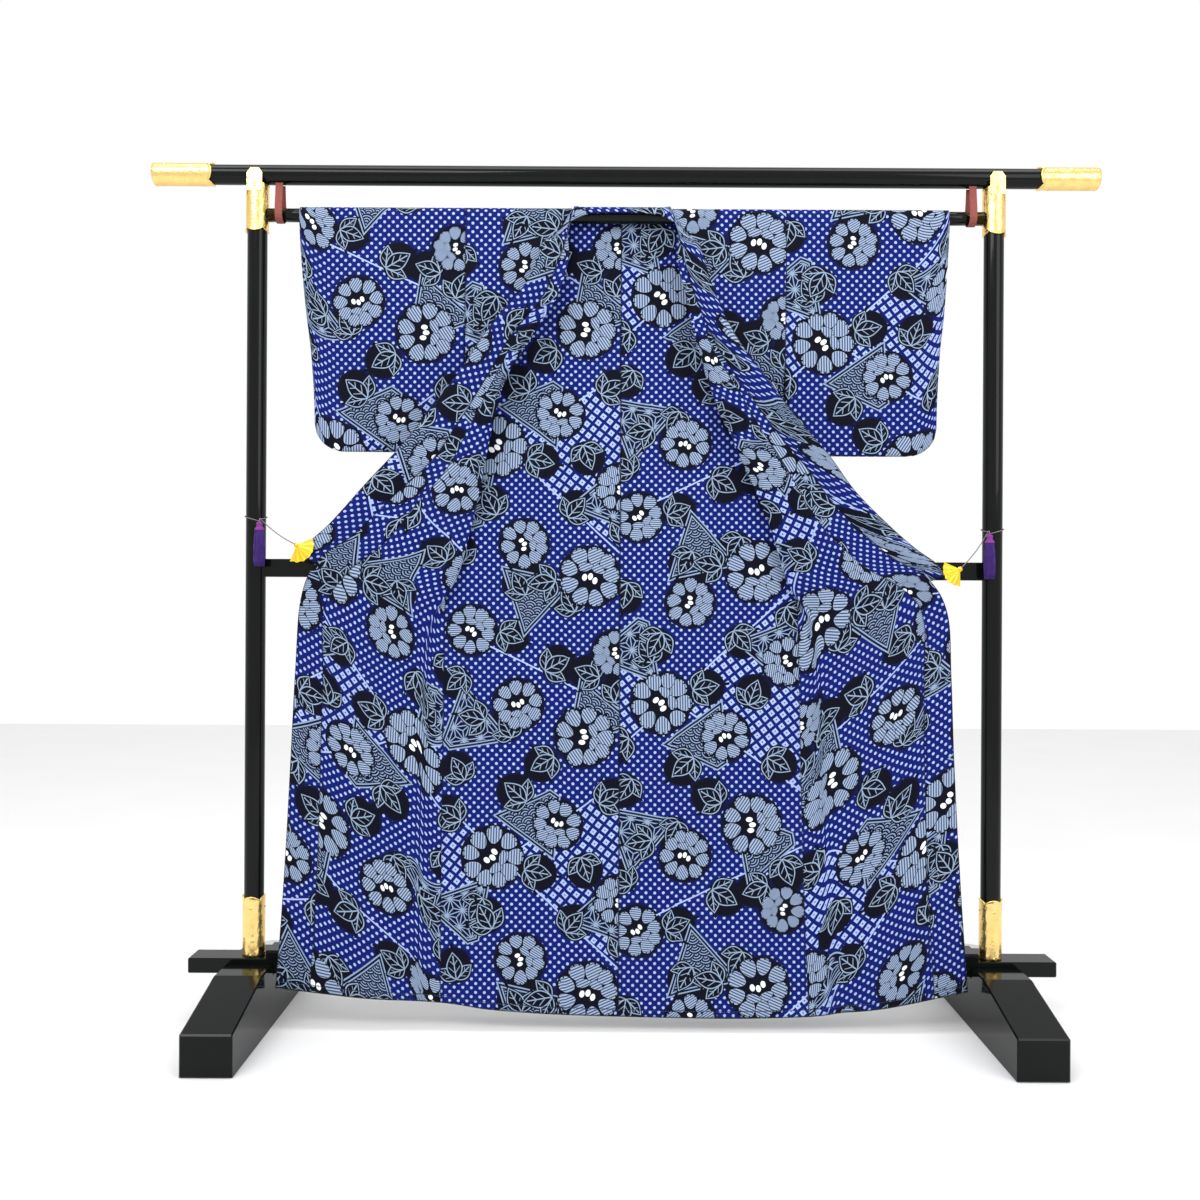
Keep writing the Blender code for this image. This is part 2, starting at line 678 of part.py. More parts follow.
# free edge of the band beside its seam: height of the seam, offset out and up, offset in depth
COLLAR_EDGE = {
    -1: [
        {"z": 900, "dx": -32, "dz": 10, "dy": -3}, {"z": 926, "dx": -34, "dz": 14, "dy": -3},
        {"z": 975, "dx": -44, "dz": 24, "dy": -4}, {"z": 1053, "dx": -49, "dz": 30, "dy": -5},
        {"z": 1121, "dx": -54, "dz": 34, "dy": -6}, {"z": 1200, "dx": -50, "dz": 30, "dy": -8},
        {"z": 1286, "dx": -42, "dz": 24, "dy": -12}, {"z": 1372, "dx": -37, "dz": 20, "dy": -15},
        {"z": 1450, "dx": -35, "dz": 18, "dy": -15}, {"z": 1525, "dx": -34, "dz": 14, "dy": -10},
        {"z": 1584, "dx": -34, "dz": 8, "dy": -6},
    ],
    1: [
        {"z": 870, "dx": 30, "dz": 10, "dy": -3}, {"z": 895, "dx": 32, "dz": 14, "dy": -3},
        {"z": 940, "dx": 38, "dz": 24, "dy": -4}, {"z": 1027, "dx": 38, "dz": 28, "dy": -8},
        {"z": 1106, "dx": 38, "dz": 28, "dy": -12}, {"z": 1181, "dx": 36, "dz": 28, "dy": -14},
        {"z": 1262, "dx": 34, "dz": 26, "dy": -15}, {"z": 1343, "dx": 33, "dz": 22, "dy": -16},
        {"z": 1440, "dx": 32, "dz": 18, "dy": -15}, {"z": 1522, "dx": 34, "dz": 14, "dy": -10},
        {"z": 1584, "dx": 34, "dz": 8, "dy": -6},
    ],
}
COLLAR_END = {-1: 905.0, 1: 876.0}


def collar_run(side):
    """Stations from the neck down to the band's end: seam point and free edge point."""
    stations = []
    for p in collar_seam[side]:
        if p.z > 1552:
            continue
        if p.z < COLLAR_END[side]:
            break
        rows = COLLAR_EDGE[side]
        dx = table_value(rows, "z", "dx", p.z)
        dz = table_value(rows, "z", "dz", p.z)
        dy = table_value(rows, "z", "dy", p.z)
        out = Vector((dx, dy, dz))
        step = out.normalized()
        lift = Vector((0, -3.8 * smooth_step((p.z - 1510) / 40), 0))
        stations.append((p + step * 1.1 + lift, p + out + lift))
    return stations


BAND = 6
HUG = DRAPE_R + WALL / 2 + COLLAR_WALL / 2 + 1.3
rail = []
for side in (-1, 1):
    part = []
    for seam, free in collar_run(side):
        line = []
        for i in range(BAND + 1):
            t = i / BAND
            p = between(seam, free, t)
            crown = 4.0 * math.sin(math.pi * t)
            line.append(p + Vector((0, -crown, 0)))
        part.append(line)
    rail.append(part)

lines = list(reversed(rail[0]))
# neck corner and back neck: the band turns from beside the front to over the bar
TURN = [
    {"k": 0, "x": 0.0, "start": 168, "end": 4, "slant": 0},
    {"k": 1, "x": 0.45, "start": 168, "end": 2, "slant": 0},
    {"k": 2, "x": 0.68, "start": 160, "end": -2, "slant": 2},
    {"k": 3, "x": 0.81, "start": 140, "end": -8, "slant": 6},
    {"k": 4, "x": 0.895, "start": 112, "end": -16, "slant": 12},
    {"k": 5, "x": 0.955, "start": 76, "end": -26, "slant": 20},
    {"k": 6, "x": 1.0, "start": 34, "end": -38, "slant": 29},
    {"k": 7, "x": 1.06, "start": -12, "end": -52, "slant": 36},
]
TURN_STEPS = [0, 1, 2, 3, 4, 5, 6, 6.5, 7]


def turn_line(side, k):
    row = {name: table_value(TURN, "k", name, k) for name in ("x", "start", "end", "slant")}
    reach = abs(NECK[side] - CENTRE_X) - 2.0
    x = CENTRE_X + side * reach * row["x"]
    line = []
    for i in range(BAND + 1):
        t = i / BAND
        degrees = row["start"] + (row["end"] - row["start"]) * t
        a = math.radians(max(degrees, 0.0))
        drop = max(0.0, -degrees)
        px = x + side * row["slant"] * t * t
        hug = HUG + 1.6 * smooth_step((k - 3) / 2)
        py = -hug * math.cos(a) - 0.2 * drop
        line.append(Vector((px, py, RAIL_Z + hug * math.sin(a) - drop)))
    return line


for k in reversed(TURN_STEPS[1:]):
    lines.append(turn_line(-1, k))
for k in TURN_STEPS:
    lines.append(turn_line(1, k))
lines += rail[1]
# ease the joins between the neck turn and the two fronts
joins = (len(rail[0]), len(lines) - len(rail[1]) - 1)
for _ in range(1):
    eased = [list(line) for line in lines]
    for r in range(1, len(lines) - 1):
        if min(abs(r - j) for j in joins) > 1:
            continue
        for i in range(BAND + 1):
            eased[r][i] = lines[r][i] * 0.5 + (lines[r - 1][i] + lines[r + 1][i]) * 0.25
    lines = eased
shell("collar", lines, COLLAR_WALL)

# hanging bar with rounded ends
bar = cylinder("hanging_bar", RAIL_R, -RAIL_HALF, RAIL_HALF, "X", (0, 0, RAIL_Z), "lacquer")
soften(bar, 3.0)

# top bar and its end caps
cylinder("top_bar", TOP_R, -TOP_HALF, TOP_HALF, "X", (0, 0, TOP_Z), "lacquer", sides=32)
for side, word in ((-1, "left"), (1, "right")):
    metal_sleeve("end_cap_" + word, "X", (0, 0, TOP_Z), TOP_R + GAP + 0.2, 2.2,
                 side * 949.0, side * 828.0, 8.0, 4, closed=True)

# straps that carry the hanging bar under the top bar
for side, word in ((-1, "left"), (1, "right")):
    reach = RAIL_R + 1.9
    path = [(-9.0, 1684.2), (-11.5, 1660.0), (-reach, 1632.0)]
    for degrees in range(0, 181, 30):
        a = math.radians(degrees)
        path.append((-reach * math.cos(a), RAIL_Z - reach * math.sin(a)))
    path += [(reach, 1632.0), (11.5, 1660.0), (9.0, 1684.2)]
    grid = [[Vector((side * 696.0 + x, y, z)) for x in (-7.5, 0.0, 7.5)] for y, z in path]
    shell("strap_" + word, grid, 1.8, finish="strap")

# posts with their metal sleeves; the upper ones hold the top bar between two tongues
TONGUE = [(-15.5, 1664.0), (15.5, 1664.0), (15.5, 1700.0), (8.0, 1710.0), (-8.0, 1710.0), (-15.5, 1700.0)]
for side, word in ((-1, "left"), (1, "right")):
    x = side * POST_X
    cylinder("post_" + word, POST_R, BOARD_HIGH + GAP, 1682.8, "Z", (x, 0, 0), "lacquer")
    metal_sleeve("post_foot_" + word, "Z", (x, 0, 0), POST_R + GAP + 0.2, 2.0,
                 BOARD_HIGH + GAP, 254.0, 8.0, 4)
    top = metal_sleeve("post_head_" + word, "Z", (x, 0, 0), POST_R + GAP + 0.2, 2.4,
                       1682.9, 1585.0, 8.0, 4)
    for face, near in (("front", -1), ("back", 1)):
        thick = 2.4
        y = near * (TOP_R + GAP + thick / 2)
        tongue = plate("tongue_" + face + "_" + word, TONGUE, thick, "metal", (x, y, 0),
                       (math.radians(90), 0, 0), helper=True)
        cut(top, tongue, "UNION")

# middle rail between the posts
rail_solid = box("mid_rail", (-POST_X + 8, -12, MID_Z - 18), (POST_X - 8, 12, MID_Z + 18), "lacquer")
for side, word in ((-1, "left"), (1, "right")):
    clear = cylinder("rail_cut_" + word, POST_R + GAP, 850, 970, "Z", (side * POST_X, 0, 0), "lacquer",
                     helper=True)
    cut(rail_solid, clear)

# base board: higher between the posts, its ends run out past the feet
BOARD = [(-BOARD_HALF, BOARD_LOW), (BOARD_HALF, BOARD_LOW), (BOARD_HALF, BOARD_HIGH), (710, BOARD_HIGH),
         (710, 149), (-710, 149), (-710, BOARD_HIGH), (-BOARD_HALF, BOARD_HIGH)]
board = plate("base_board", BOARD, 2 * BOARD_DEEP, "lacquer", (0, 0, 0), (math.radians(90), 0, 0))
soften(board, 2.0)

# feet: their upper faces slope down to both ends; a slot takes the base board
FOOT = [(-264, 0), (264, 0), (264, 77), (93, 122), (-93, 122), (-264, 77)]
for side, word in ((-1, "left"), (1, "right")):
    x = side * POST_X
    foot = plate("foot_" + word, FOOT, 2 * FOOT_HALF_W, "lacquer", (x, 0, 0),
                 (math.radians(90), 0, math.radians(90)))
    slot = box("slot_" + word, (x - 80, -BOARD_DEEP - GAP, BOARD_LOW - GAP),
               (x + 80, BOARD_DEEP + GAP, 160), "lacquer", helper=True)
    cut(foot, slot)
    soften(foot, 2.5)

# cords, clips and tassels that hold the fronts open
CLIPS = {
    -1: {"px": -641.0, "pz": 954.0, "first": 24.0, "last": -112.0, "knot_z": 1003.0},
    1: {"px": 655.0, "pz": 914.0, "first": 157.0, "last": 270.0, "knot_z": 985.0},
}
CLIP_Y = -66.0
FAN = 34.0


def cord_curve(name, path, radius, finish):
    curve = bpy.data.curves.new(name, "CURVE")
    curve.dimensions = "3D"
    curve.bevel_depth = radius * MM
    curve.bevel_resolution = 1
    curve.use_fill_caps = True
    line = curve.splines.new("POLY")
    line.points.add(len(path) - 1)
    for point, p in zip(line.points, path):
        point.co = (p.x * MM, p.y * MM, p.z * MM, 1.0)
    obj = bpy.data.objects.new(name, curve)
    home.objects.link(obj)
    colour, metallic, rough = FINISH[finish]
    paint(obj, name + "_finish", colour, metallic, rough)
    return obj


for side, word in ((-1, "left"), (1, "right")):
    spec = CLIPS[side]
    x0 = side * POST_X
    inward = -side
    # cord: from the tassel's knot round the post and off to the clip
    ring = POST_R + 1.9
    tx = x0 + inward * 17.0
    ty = -(POST_R + 12.5)
    head = spec["knot_z"] - 3.0
    path = [Vector((tx, ty, head + 2.35)), Vector((tx, ty + 0.5, head + 7.0)),
            Vector((tx - inward * 1.0, ty + 8.0, head + 9.0))]
    for degrees in range(-48, -409, -20):
        a = math.radians(degrees)
        f = (degrees + 48) / -372.0
        px = x0 + inward * ring * math.cos(a)
        py = ring * math.sin(a)
        pz = spec["knot_z"] + 12.0 * math.sin(math.pi * f) + 4.0 * f
        path.append(Vector((px, py, pz)))
    last = path[-1]
    middle = math.radians((spec["first"] + spec["last"]) / 2)
    goal = Vector((spec["px"] + 0.6 * math.cos(middle), CLIP_Y, spec["pz"] + 0.6 * math.sin(middle)))
    for f in (0.12, 0.35, 0.6, 0.85, 1.0):
        sag = -4.0 * math.sin(math.pi * f)
        path.append(between(last, goal, f) + Vector((0, -6.0 * math.sin(math.pi * f), sag)))
    cord_curve("cord_" + word, path, 1.0, "cord")
    # fan clip: ribbed leaf in front of the cloth edge, on an even wall
    ribs = 12
    fan = []
    for reach in (2.0, FAN):
        arc = []
        for i in range(ribs + 1):
            a = math.radians(spec["first"] + (spec["last"] - spec["first"]) * i / ribs)
            ridge = i % 2 == 0
            r = reach if ridge or reach < FAN else reach - 2.0
            depth = CLIP_Y - (0.6 if ridge and reach == FAN else 0.0)
            arc.append(Vector((spec["px"] + r * math.cos(a), depth, spec["pz"] + r * math.sin(a))))
        fan.append(arc)
    shell("clip_" + word, fan, 2.2, finish="metal")
    # tassel: round head over standing strands
    cells = 4
    half = 10.5
    length = 84.0

    def spot(i, j, scale, z):
        u = (i / cells) * 2 - 1
        w = (j / cells) * 2 - 1
        du = u * math.sqrt(1 - w * w / 2)
        dw = w * math.sqrt(1 - u * u / 2)
        return (tx + du * half * scale, ty + dw * half * scale, z)

    verts = []
    faces = []
    low = {}
    for i in range(cells + 1):
        for j in range(cells + 1):
            low[i, j] = len(verts)
            verts.append(spot(i, j, 1.0, head - 14))
    border = [(i, 0) for i in range(cells)] + [(cells, j) for j in range(cells)]
    border += [(i, cells) for i in range(cells, 0, -1)] + [(0, j) for j in range(cells, 0, -1)]
    rings = [[low[key] for key in border]]
    for scale, z in ((0.92, head - 8), (0.55, head - 6), (0.62, head - 1), (0.30, head + 2)):
        ring_ids = []
        for key in border:
            ring_ids.append(len(verts))
            verts.append(spot(key[0], key[1], scale, z))
        rings.append(ring_ids)
    m = len(border)
    for a_ring, b_ring in zip(rings, rings[1:]):
        for i in range(m):
            j = (i + 1) % m
            faces.append((a_ring[i], a_ring[j], b_ring[j], b_ring[i]))
    faces.append(tuple(rings[-1]))
    for i in range(cells):
        for j in range(cells):
            quad = [(i, j), (i + 1, j), (i + 1, j + 1), (i, j + 1)]
            cx = sum(spot(a, b, 1.0, 0)[0] for a, b in quad) / 4
            cy = sum(spot(a, b, 1.0, 0)[1] for a, b in quad) / 4
            drop = length + 3.0 * math.sin(i * 2.3 + j * 1.7)
            levels = []
            shape = ((0.80, 1.0, head - 14), (0.80, 1.02, head - 20), (0.66, 1.22, head - drop))
            for scale, spread, z in shape:
                ids = []
                for a, b in quad:
                    p = spot(a, b, 1.0, 0)
                    qx = tx + (cx - tx) * spread + (p[0] - cx) * scale
                    qy = ty + (cy - ty) * spread + (p[1] - cy) * scale
                    ids.append(len(verts))
                    verts.append((qx, qy, z))
                levels.append(ids)
            outer_ids = [low[a, b] for a, b in quad]
            for k in range(4):
                h = (k + 1) % 4
                faces.append((outer_ids[k], outer_ids[h], levels[0][h], levels[0][k]))
                faces.append((levels[0][k], levels[0][h], levels[1][h], levels[1][k]))
                faces.append((levels[1][k], levels[1][h], levels[2][h], levels[2][k]))
            faces.append(tuple(levels[2]))
    make("tassel_" + word, verts, faces, "tassel", smooth=False)
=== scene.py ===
"""Cotton yukata hung open on a lacquered kimono stand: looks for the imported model.

Cloth sizes are in millimetres in the tables and become metres when a mesh is made.
X runs to the viewer's right, Y away from the viewer, Z up.
"""
import math

import bmesh
import bpy
import numpy as np
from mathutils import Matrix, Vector


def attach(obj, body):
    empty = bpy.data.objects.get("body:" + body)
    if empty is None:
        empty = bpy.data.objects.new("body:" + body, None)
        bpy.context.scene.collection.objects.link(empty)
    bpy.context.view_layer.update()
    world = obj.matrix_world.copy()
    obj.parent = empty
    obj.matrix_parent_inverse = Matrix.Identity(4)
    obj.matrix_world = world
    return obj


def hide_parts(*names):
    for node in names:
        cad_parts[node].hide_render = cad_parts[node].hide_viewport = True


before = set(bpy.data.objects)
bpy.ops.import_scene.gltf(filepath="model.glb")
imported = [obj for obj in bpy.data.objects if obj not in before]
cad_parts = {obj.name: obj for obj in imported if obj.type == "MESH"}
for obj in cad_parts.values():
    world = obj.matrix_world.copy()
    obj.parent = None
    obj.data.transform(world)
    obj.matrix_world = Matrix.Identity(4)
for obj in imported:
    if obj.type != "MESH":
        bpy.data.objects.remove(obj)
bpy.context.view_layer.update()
MM = 0.001

# sizes shared with the solids
TOP_Z = 1703.0
TOP_R = 19.5
TOP_HALF = 946.0
RAIL_Z = 1622.0
RAIL_R = 13.45
RAIL_HALF = 719.0
POST_X = 742.0
POST_R = 19.5
POST_TOP = 1682.8
BOARD_HIGH = 133.0
GAP = 0.3
WALL = 1.6
DRAPE_R = RAIL_R + 2.2
CENTRE_X = -8.0
TOP_OF_CLOTH = RAIL_Z + DRAPE_R
SLEEVE_IN = 320.8
NECK = {-1: -107.0, 1: 93.0}
COLLAR_WALL = 2.0
CLOTH_THICK = 0.6
REPEAT = 820.0
LOOM_WIDTH = 360.0
SEAM_EASE = 0.6
NO_HEM = 400.0


def table(names, *rows):
    """Rows of a short table with named columns."""
    return [dict(zip(names, row)) for row in rows]


def smooth_step(t):
    t = max(0.0, min(1.0, t))
    return t * t * (3 - 2 * t)


def table_value(rows, key, column, at):
    """Value of a column at a key, on a smooth curve through the rows of a short table."""
    ordered = sorted(rows, key=lambda r: r[key])
    xs = [r[key] for r in ordered]
    ys = [r[column] for r in ordered]
    if at <= xs[0]:
        return ys[0]
    if at >= xs[-1]:
        return ys[-1]
    slopes = [(ys[i + 1] - ys[i]) / (xs[i + 1] - xs[i]) for i in range(len(xs) - 1)]
    ends = [slopes[0]]
    for a, b in zip(slopes, slopes[1:]):
        ends.append(0.0 if a * b <= 0 else 2 * a * b / (a + b))
    ends.append(slopes[-1])
    i = max(k for k in range(len(xs) - 1) if xs[k] <= at)
    h = xs[i + 1] - xs[i]
    t = (at - xs[i]) / h
    return ((2 * t ** 3 - 3 * t * t + 1) * ys[i] + (t ** 3 - 2 * t * t + t) * h * ends[i]
            + (3 * t * t - 2 * t ** 3) * ys[i + 1] + (t ** 3 - t * t) * h * ends[i + 1])


def spline(points, t):
    """Catmull-Rom through points, t from 0 to 1."""
    n = len(points) - 1
    s = min(max(t, 0.0), 1.0) * n
    i = min(int(s), n - 1)
    f = s - i
    p1 = points[i]
    p2 = points[i + 1]
    p0 = points[i - 1] if i > 0 else p1 * 2 - p2
    p3 = points[i + 2] if i + 2 <= n else p2 * 2 - p1
    return 0.5 * ((2 * p1) + (p2 - p0) * f + (2 * p0 - 5 * p1 + 4 * p2 - p3) * f * f
                  + (3 * p1 - p0 - 3 * p2 + p3) * f * f * f)


# depth of the back panel below the bar: it passes in front of the middle rail
BACK_DEPTH = table(
    ("z", "y"),
    (1622, 14.6), (1500, 12.0), (1350, 7.0), (1200, 1.0), (1060, -9.0), (960, -16.5), (860, -18.0),
    (500, -32.0), (200, -46.0), (20, -56.0),
)

# side edge of the body, the same for its back and its front
SIDE_EDGE = table(
    ("z", -1, 1),
    (1640, -320.5, 320.5), (1250, -320.0, 320.0), (1130, -319.0, 319.0), (1000, -348.0, 336.0),
    (800, -358.0, 347.0), (400, -359.0, 354.0), (20, -357.0, 366.0),
)

# bottom edge of the whole robe, by distance from the centre seam
HEM = table(
    ("x", "z"),
    (-700, 84), (-610, 73), (-520, 66), (-357, 57), (-240, 42), (-120, 35), (-8, 32), (200, 29),
    (366, 33), (470, 48), (570, 56), (640, 74), (700, 84),
)

# hanging folds of the back: place along the half width at top and bottom, extent, breadth, height
BACK_FOLDS = table(
    ("side", "top", "low", "z_top", "z_low", "wide", "high"),
    (-1, 0.62, 0.4, 1560, 300, 0.1, 7), (-1, 0.3, 0.22, 1500, 60, 0.12, 5),
    (-1, 0.85, 0.78, 1100, 40, 0.12, 5), (1, 0.55, 0.42, 1540, 260, 0.11, 7),
    (1, 0.22, 0.18, 1450, 60, 0.12, 5), (1, 0.8, 0.72, 1050, 40, 0.13, 5),
)

# the open fronts, one row per level: height at the side edge and at the front edge, the
# farthest reach of the roll toward the centre, the lapel's middle, its front edge, and depths
FRONT_COLUMN_NAMES = ("zs", "zc", "roll", "lap", "edge", "yu", "yr", "yl", "yc")
FRONT_ROWS = {
    -1: table(
        FRONT_COLUMN_NAMES,
        (1585, 1584, -128, -120, -115.0, -16, -17, -20, -22),
        (1525, 1525, -121, -125, -134, -17, -23, -30, -34),
        (1445, 1450, -143, -150, -165, -17, -26, -36, -40),
        (1350, 1372, -192, -200, -226, -17, -28, -40, -44),
        (1255, 1286, -242, -250, -276, -14, -28, -42, -46),
        (1160, 1200, -266, -286, -328, -14, -29, -44, -48),
        (1070, 1121, -284, -322, -383, -20, -33, -46, -50),
        (985, 1053, -304, -368, -455, -26, -37, -47, -50),
        (890, 975, -336, -425, -535, -29, -38, -46, -50),
        (810, 926, -388, -480, -604, -27, -35, -44, -50),
        (730, 850, -410, -500, -640, -25, -30, -38, -40),
        (620, 720, -415, -505, -652, -29, -32, -36, -34),
        (480, 560, -418, -510, -660, -34, -36, -38, -34),
        (330, 390, -420, -512, -668, -41, -42, -43, -36),
        (180, 220, -420, -514, -676, -48, -49, -50, -42),
        (57, 84, -420, -516, -684, -54, -55, -56, -48),
    ),
    1: table(
        FRONT_COLUMN_NAMES,
        (1585, 1584, 116, 108, 104.0, -16, -17, -20, -22),
        (1525, 1522, 112, 113, 117, -17, -23, -30, -34),
        (1445, 1440, 129, 131, 142, -17, -26, -36, -40),
        (1350, 1343, 150, 158, 186, -17, -28, -40, -44),
        (1255, 1262, 174, 192, 242, -14, -28, -42, -46),
        (1160, 1181, 212, 240, 300, -14, -29, -44, -48),
        (1070, 1106, 252, 292, 363, -20, -33, -46, -50),
        (985, 1027, 290, 345, 424, -26, -37, -47, -50),
        (890, 940, 326, 415, 522, -29, -38, -46, -50),
        (810, 895, 378, 470, 598, -27, -35, -44, -50),
        (730, 825, 398, 490, 640, -25, -30, -38, -40),
        (620, 710, 405, 496, 650, -29, -32, -36, -34),
        (480, 555, 412, 505, 656, -34, -36, -38, -34),
        (330, 388, 420, 512, 664, -41, -42, -43, -36),
        (180, 220, 426, 518, 672, -48, -49, -50, -42), (33, 84, 430, 522, 681, -56, -57, -58, -48),
    ),
}

# breadth of the overlap panel inside the front edge, by height at the front edge
OVERLAP = table(
    ("z", "wide"),
    (84, 68), (390, 64), (560, 60), (720, 56), (850, 48), (926, 62), (975, 60), (1053, 48),
    (1121, 36), (1200, 24), (1286, 15), (1372, 9),
)

# drape lines on the turned-out front: first and last row, place across at each, breadth, height
DRAPES = table(
    ("side", "from", "to", "top", "low", "wide", "high"),
    (-1, 3, 11, 0.62, 0.42, 0.085, 8), (-1, 4, 12, 0.78, 0.6, 0.08, 7),
    (-1, 6, 13, 0.88, 0.74, 0.07, 6), (-1, 9, 17, 0.3, 0.34, 0.06, 5),
    (-1, 9, 17, 0.55, 0.62, 0.06, 5), (1, 3, 11, 0.6, 0.4, 0.085, 8),
    (1, 4, 12, 0.76, 0.58, 0.08, 7), (1, 6, 13, 0.9, 0.76, 0.07, 6),
    (1, 9, 17, 0.28, 0.32, 0.06, 5), (1, 9, 17, 0.58, 0.64, 0.06, 5),
)

def hem_at(x):
    return table_value(HEM, "x", "z", x)


def back_y(z):
    return table_value(BACK_DEPTH, "z", "y", z)


def side_x(side, z):
    return table_value(SIDE_EDGE, "z", side, z)


def bump(t):
    return math.cos(t * math.pi / 2) ** 2 if abs(t) < 1 else 0.0


def back_point(side, z, u):
    """Middle of the back wall: u is 0 at the centre seam and 1 at the side edge."""
    inner = CENTRE_X + side * 0.25
    x = inner + u * (side_x(side, z) - inner)
    y = back_y(z)
    for fold in BACK_FOLDS:
        if fold["side"] != side:
            continue
        if not fold["z_low"] < z < fold["z_top"]:
            continue
        t = (fold["z_top"] - z) / (fold["z_top"] - fold["z_low"])
        at = fold["top"] + t * (fold["low"] - fold["top"])
        fade = smooth_step(t * 5) * smooth_step((1 - t) * 4 + 0.35)
        room = smooth_step((RAIL_Z - 30 - z) / 200)
        y -= fold["high"] * fade * room * bump((u - at) / fold["wide"])
    return Vector((x, y, z))


def front_controls(side):
    """Rows of control points from the side edge round the roll to the front edge."""
    rows = []
    for z, y in ((TOP_OF_CLOTH, 0.0), (RAIL_Z + DRAPE_R * 0.71, -DRAPE_R * 0.71), (RAIL_Z, -DRAPE_R)):
        sx = side_x(side, z)
        nx = NECK[side] + side * 0.6
        rows.append([Vector((sx + t * (nx - sx), y, z)) for t in (0.0, 0.45, 0.82, 0.93, 1.0)])
    for row in FRONT_ROWS[side]:
        zs = row["zs"]
        if zs > 1300:
            sy = -15.4 + 3.5 * smooth_step((1585 - zs) / 300)
        else:
            near = smooth_step((760 - zs) / 120)
            sy = back_y(zs) - 3.0 + 2.7 * near
            if zs > 1200:
                sy -= 3.0
        sx = side_x(side, zs) + side * 1.4 * smooth_step((900 - zs) / 120)
        zc = row["zc"]
        mid = sx + 0.52 * (row["roll"] - sx)
        steps = [abs(mid - sx), abs(row["roll"] - mid), abs(row["lap"] - row["roll"]) + 8,
                 abs(row["edge"] - row["lap"])]
        total = sum(steps)
        run = 0.0
        zz = [zs]
        for step in steps:
            run += step
            zz.append(zs + (zc - zs) * run / total)
        if zs < 700:
            zz = [hem_mix(zs, zc, x, side) for x in (sx, mid, row["roll"], row["lap"], row["edge"])]
        rows.append([
            Vector((sx, sy, zz[0])), Vector((mid, 0.4 * sy + 0.6 * row["yu"], zz[1])),
            Vector((row["roll"], row["yr"], zz[2])), Vector((row["lap"], row["yl"], zz[3])),
            Vector((row["edge"], row["yc"], zz[4])),
        ])
    return rows


def hem_mix(zs, zc, x, side):
    """Level of a low row at a given place, so the last row follows the hem."""
    rows = FRONT_ROWS[side]
    low = smooth_step((700 - zs) / 600)
    a = abs(side_x(side, zs))
    b = abs(rows[-1]["edge"])
    flat = zs + (zc - zs) * (abs(x) - a) / (b - a)
    return (1 - low) * flat + low * (hem_at(x) + (zs - rows[-1]["zs"]))


def front_surface(side, rows_out, columns):
    """Grid of the open front: rows run from the shoulder to the hem, columns to the front edge."""
    controls = front_controls(side)
    count = len(controls)
    grid = []
    for r in range(rows_out + 1):
        v = r / rows_out
        across = []
        for k in range(5):
            line = [controls[i][k] for i in range(count)]
            across.append(spline(line, v))
        index = v * (count - 1)
        line = []
        for c in range(columns + 1):
            t = c / columns
            p = spline(across, t)
            push = 0.0
            for fold in DRAPES:
                if fold["side"] != side or not fold["from"] < index < fold["to"]:
                    continue
                f = (index - fold["from"]) / (fold["to"] - fold["from"])
                at = fold["top"] + f * (fold["low"] - fold["top"])
                fade = smooth_step(f * 3) * smooth_step((1 - f) * 3)
                push += fold["high"] * fade * bump((t - at) / fold["wide"] / 1.6)
            p = p + Vector((0, -push, 0))
            line.append(p)
        grid.append(line)
    return grid


def between(a, b, f):
    return a + (b - a) * f


def resample(line, count, first=0.0, last=None):
    """Even points along a row between two distances."""
    lengths = [0.0]
    for a, b in zip(line, line[1:]):
        lengths.append(lengths[-1] + (b - a).length)
    last = lengths[-1] if last is None else last
    out = []
    for i in range(count + 1):
        want = first + (last - first) * i / count
        k = 1
        while k < len(line) - 1 and lengths[k] < want:
            k += 1
        span = lengths[k] - lengths[k - 1]
        f = (want - lengths[k - 1]) / span if span > 0 else 0.0
        out.append(between(line[k - 1], line[k], f))
    return out, lengths[-1]


# levels on the cloth where its making changes
SIDE_CLOSED = 1140.0
OVERLAP_TOP = 1380.0
SHOULDER_Z = 1630.0
BACK_START = 1616.0
NECK_TURN = 1552.0

# sleeves: reach at the top and the bottom, level of the bottom seam, round of the outer corner
SLEEVES = {
    -1: {"top": 654.0, "low": 624.0, "bottom": 1146.0, "corner": 62.0},
    1: {"top": 648.0, "low": 627.0, "bottom": 1142.0, "corner": 60.0},
}

# free edge of the band beside its seam: height of the seam, offset out and up, offset in depth
COLLAR_COLUMN_NAMES = ("z", "dx", "dz", "dy")
COLLAR_EDGE = {
    -1: table(
        COLLAR_COLUMN_NAMES,
        (900, -32, 10, -3), (926, -34, 14, -3), (975, -44, 24, -4), (1053, -49, 30, -5),
        (1121, -54, 34, -6), (1200, -50, 30, -8), (1286, -42, 24, -12), (1372, -37, 20, -15),
        (1450, -35, 18, -15), (1525, -34, 14, -10), (1584, -34, 8, -6),
    ),
    1: table(
        COLLAR_COLUMN_NAMES,
        (870, 30, 10, -3), (895, 32, 14, -3), (940, 38, 24, -4), (1027, 38, 28, -8),
        (1106, 38, 28, -12), (1181, 36, 28, -14), (1262, 34, 26, -15), (1343, 33, 22, -16),
        (1440, 32, 18, -15), (1522, 34, 14, -10), (1584, 34, 8, -6),
    ),
}
COLLAR_END = {-1: 905.0, 1: 876.0}

# the band round the back of the neck: share of the way out, turn about the bar, slant
TURN = table(
    ("k", "x", "start", "end", "slant"),
    (0, 0.0, 168, 4, 0), (1, 0.45, 168, 2, 0), (2, 0.68, 160, -2, 2), (3, 0.81, 140, -8, 6),
    (4, 0.895, 112, -16, 12), (5, 0.955, 76, -26, 20), (6, 1.0, 34, -38, 29),
    (7, 1.06, -12, -52, 36),
)

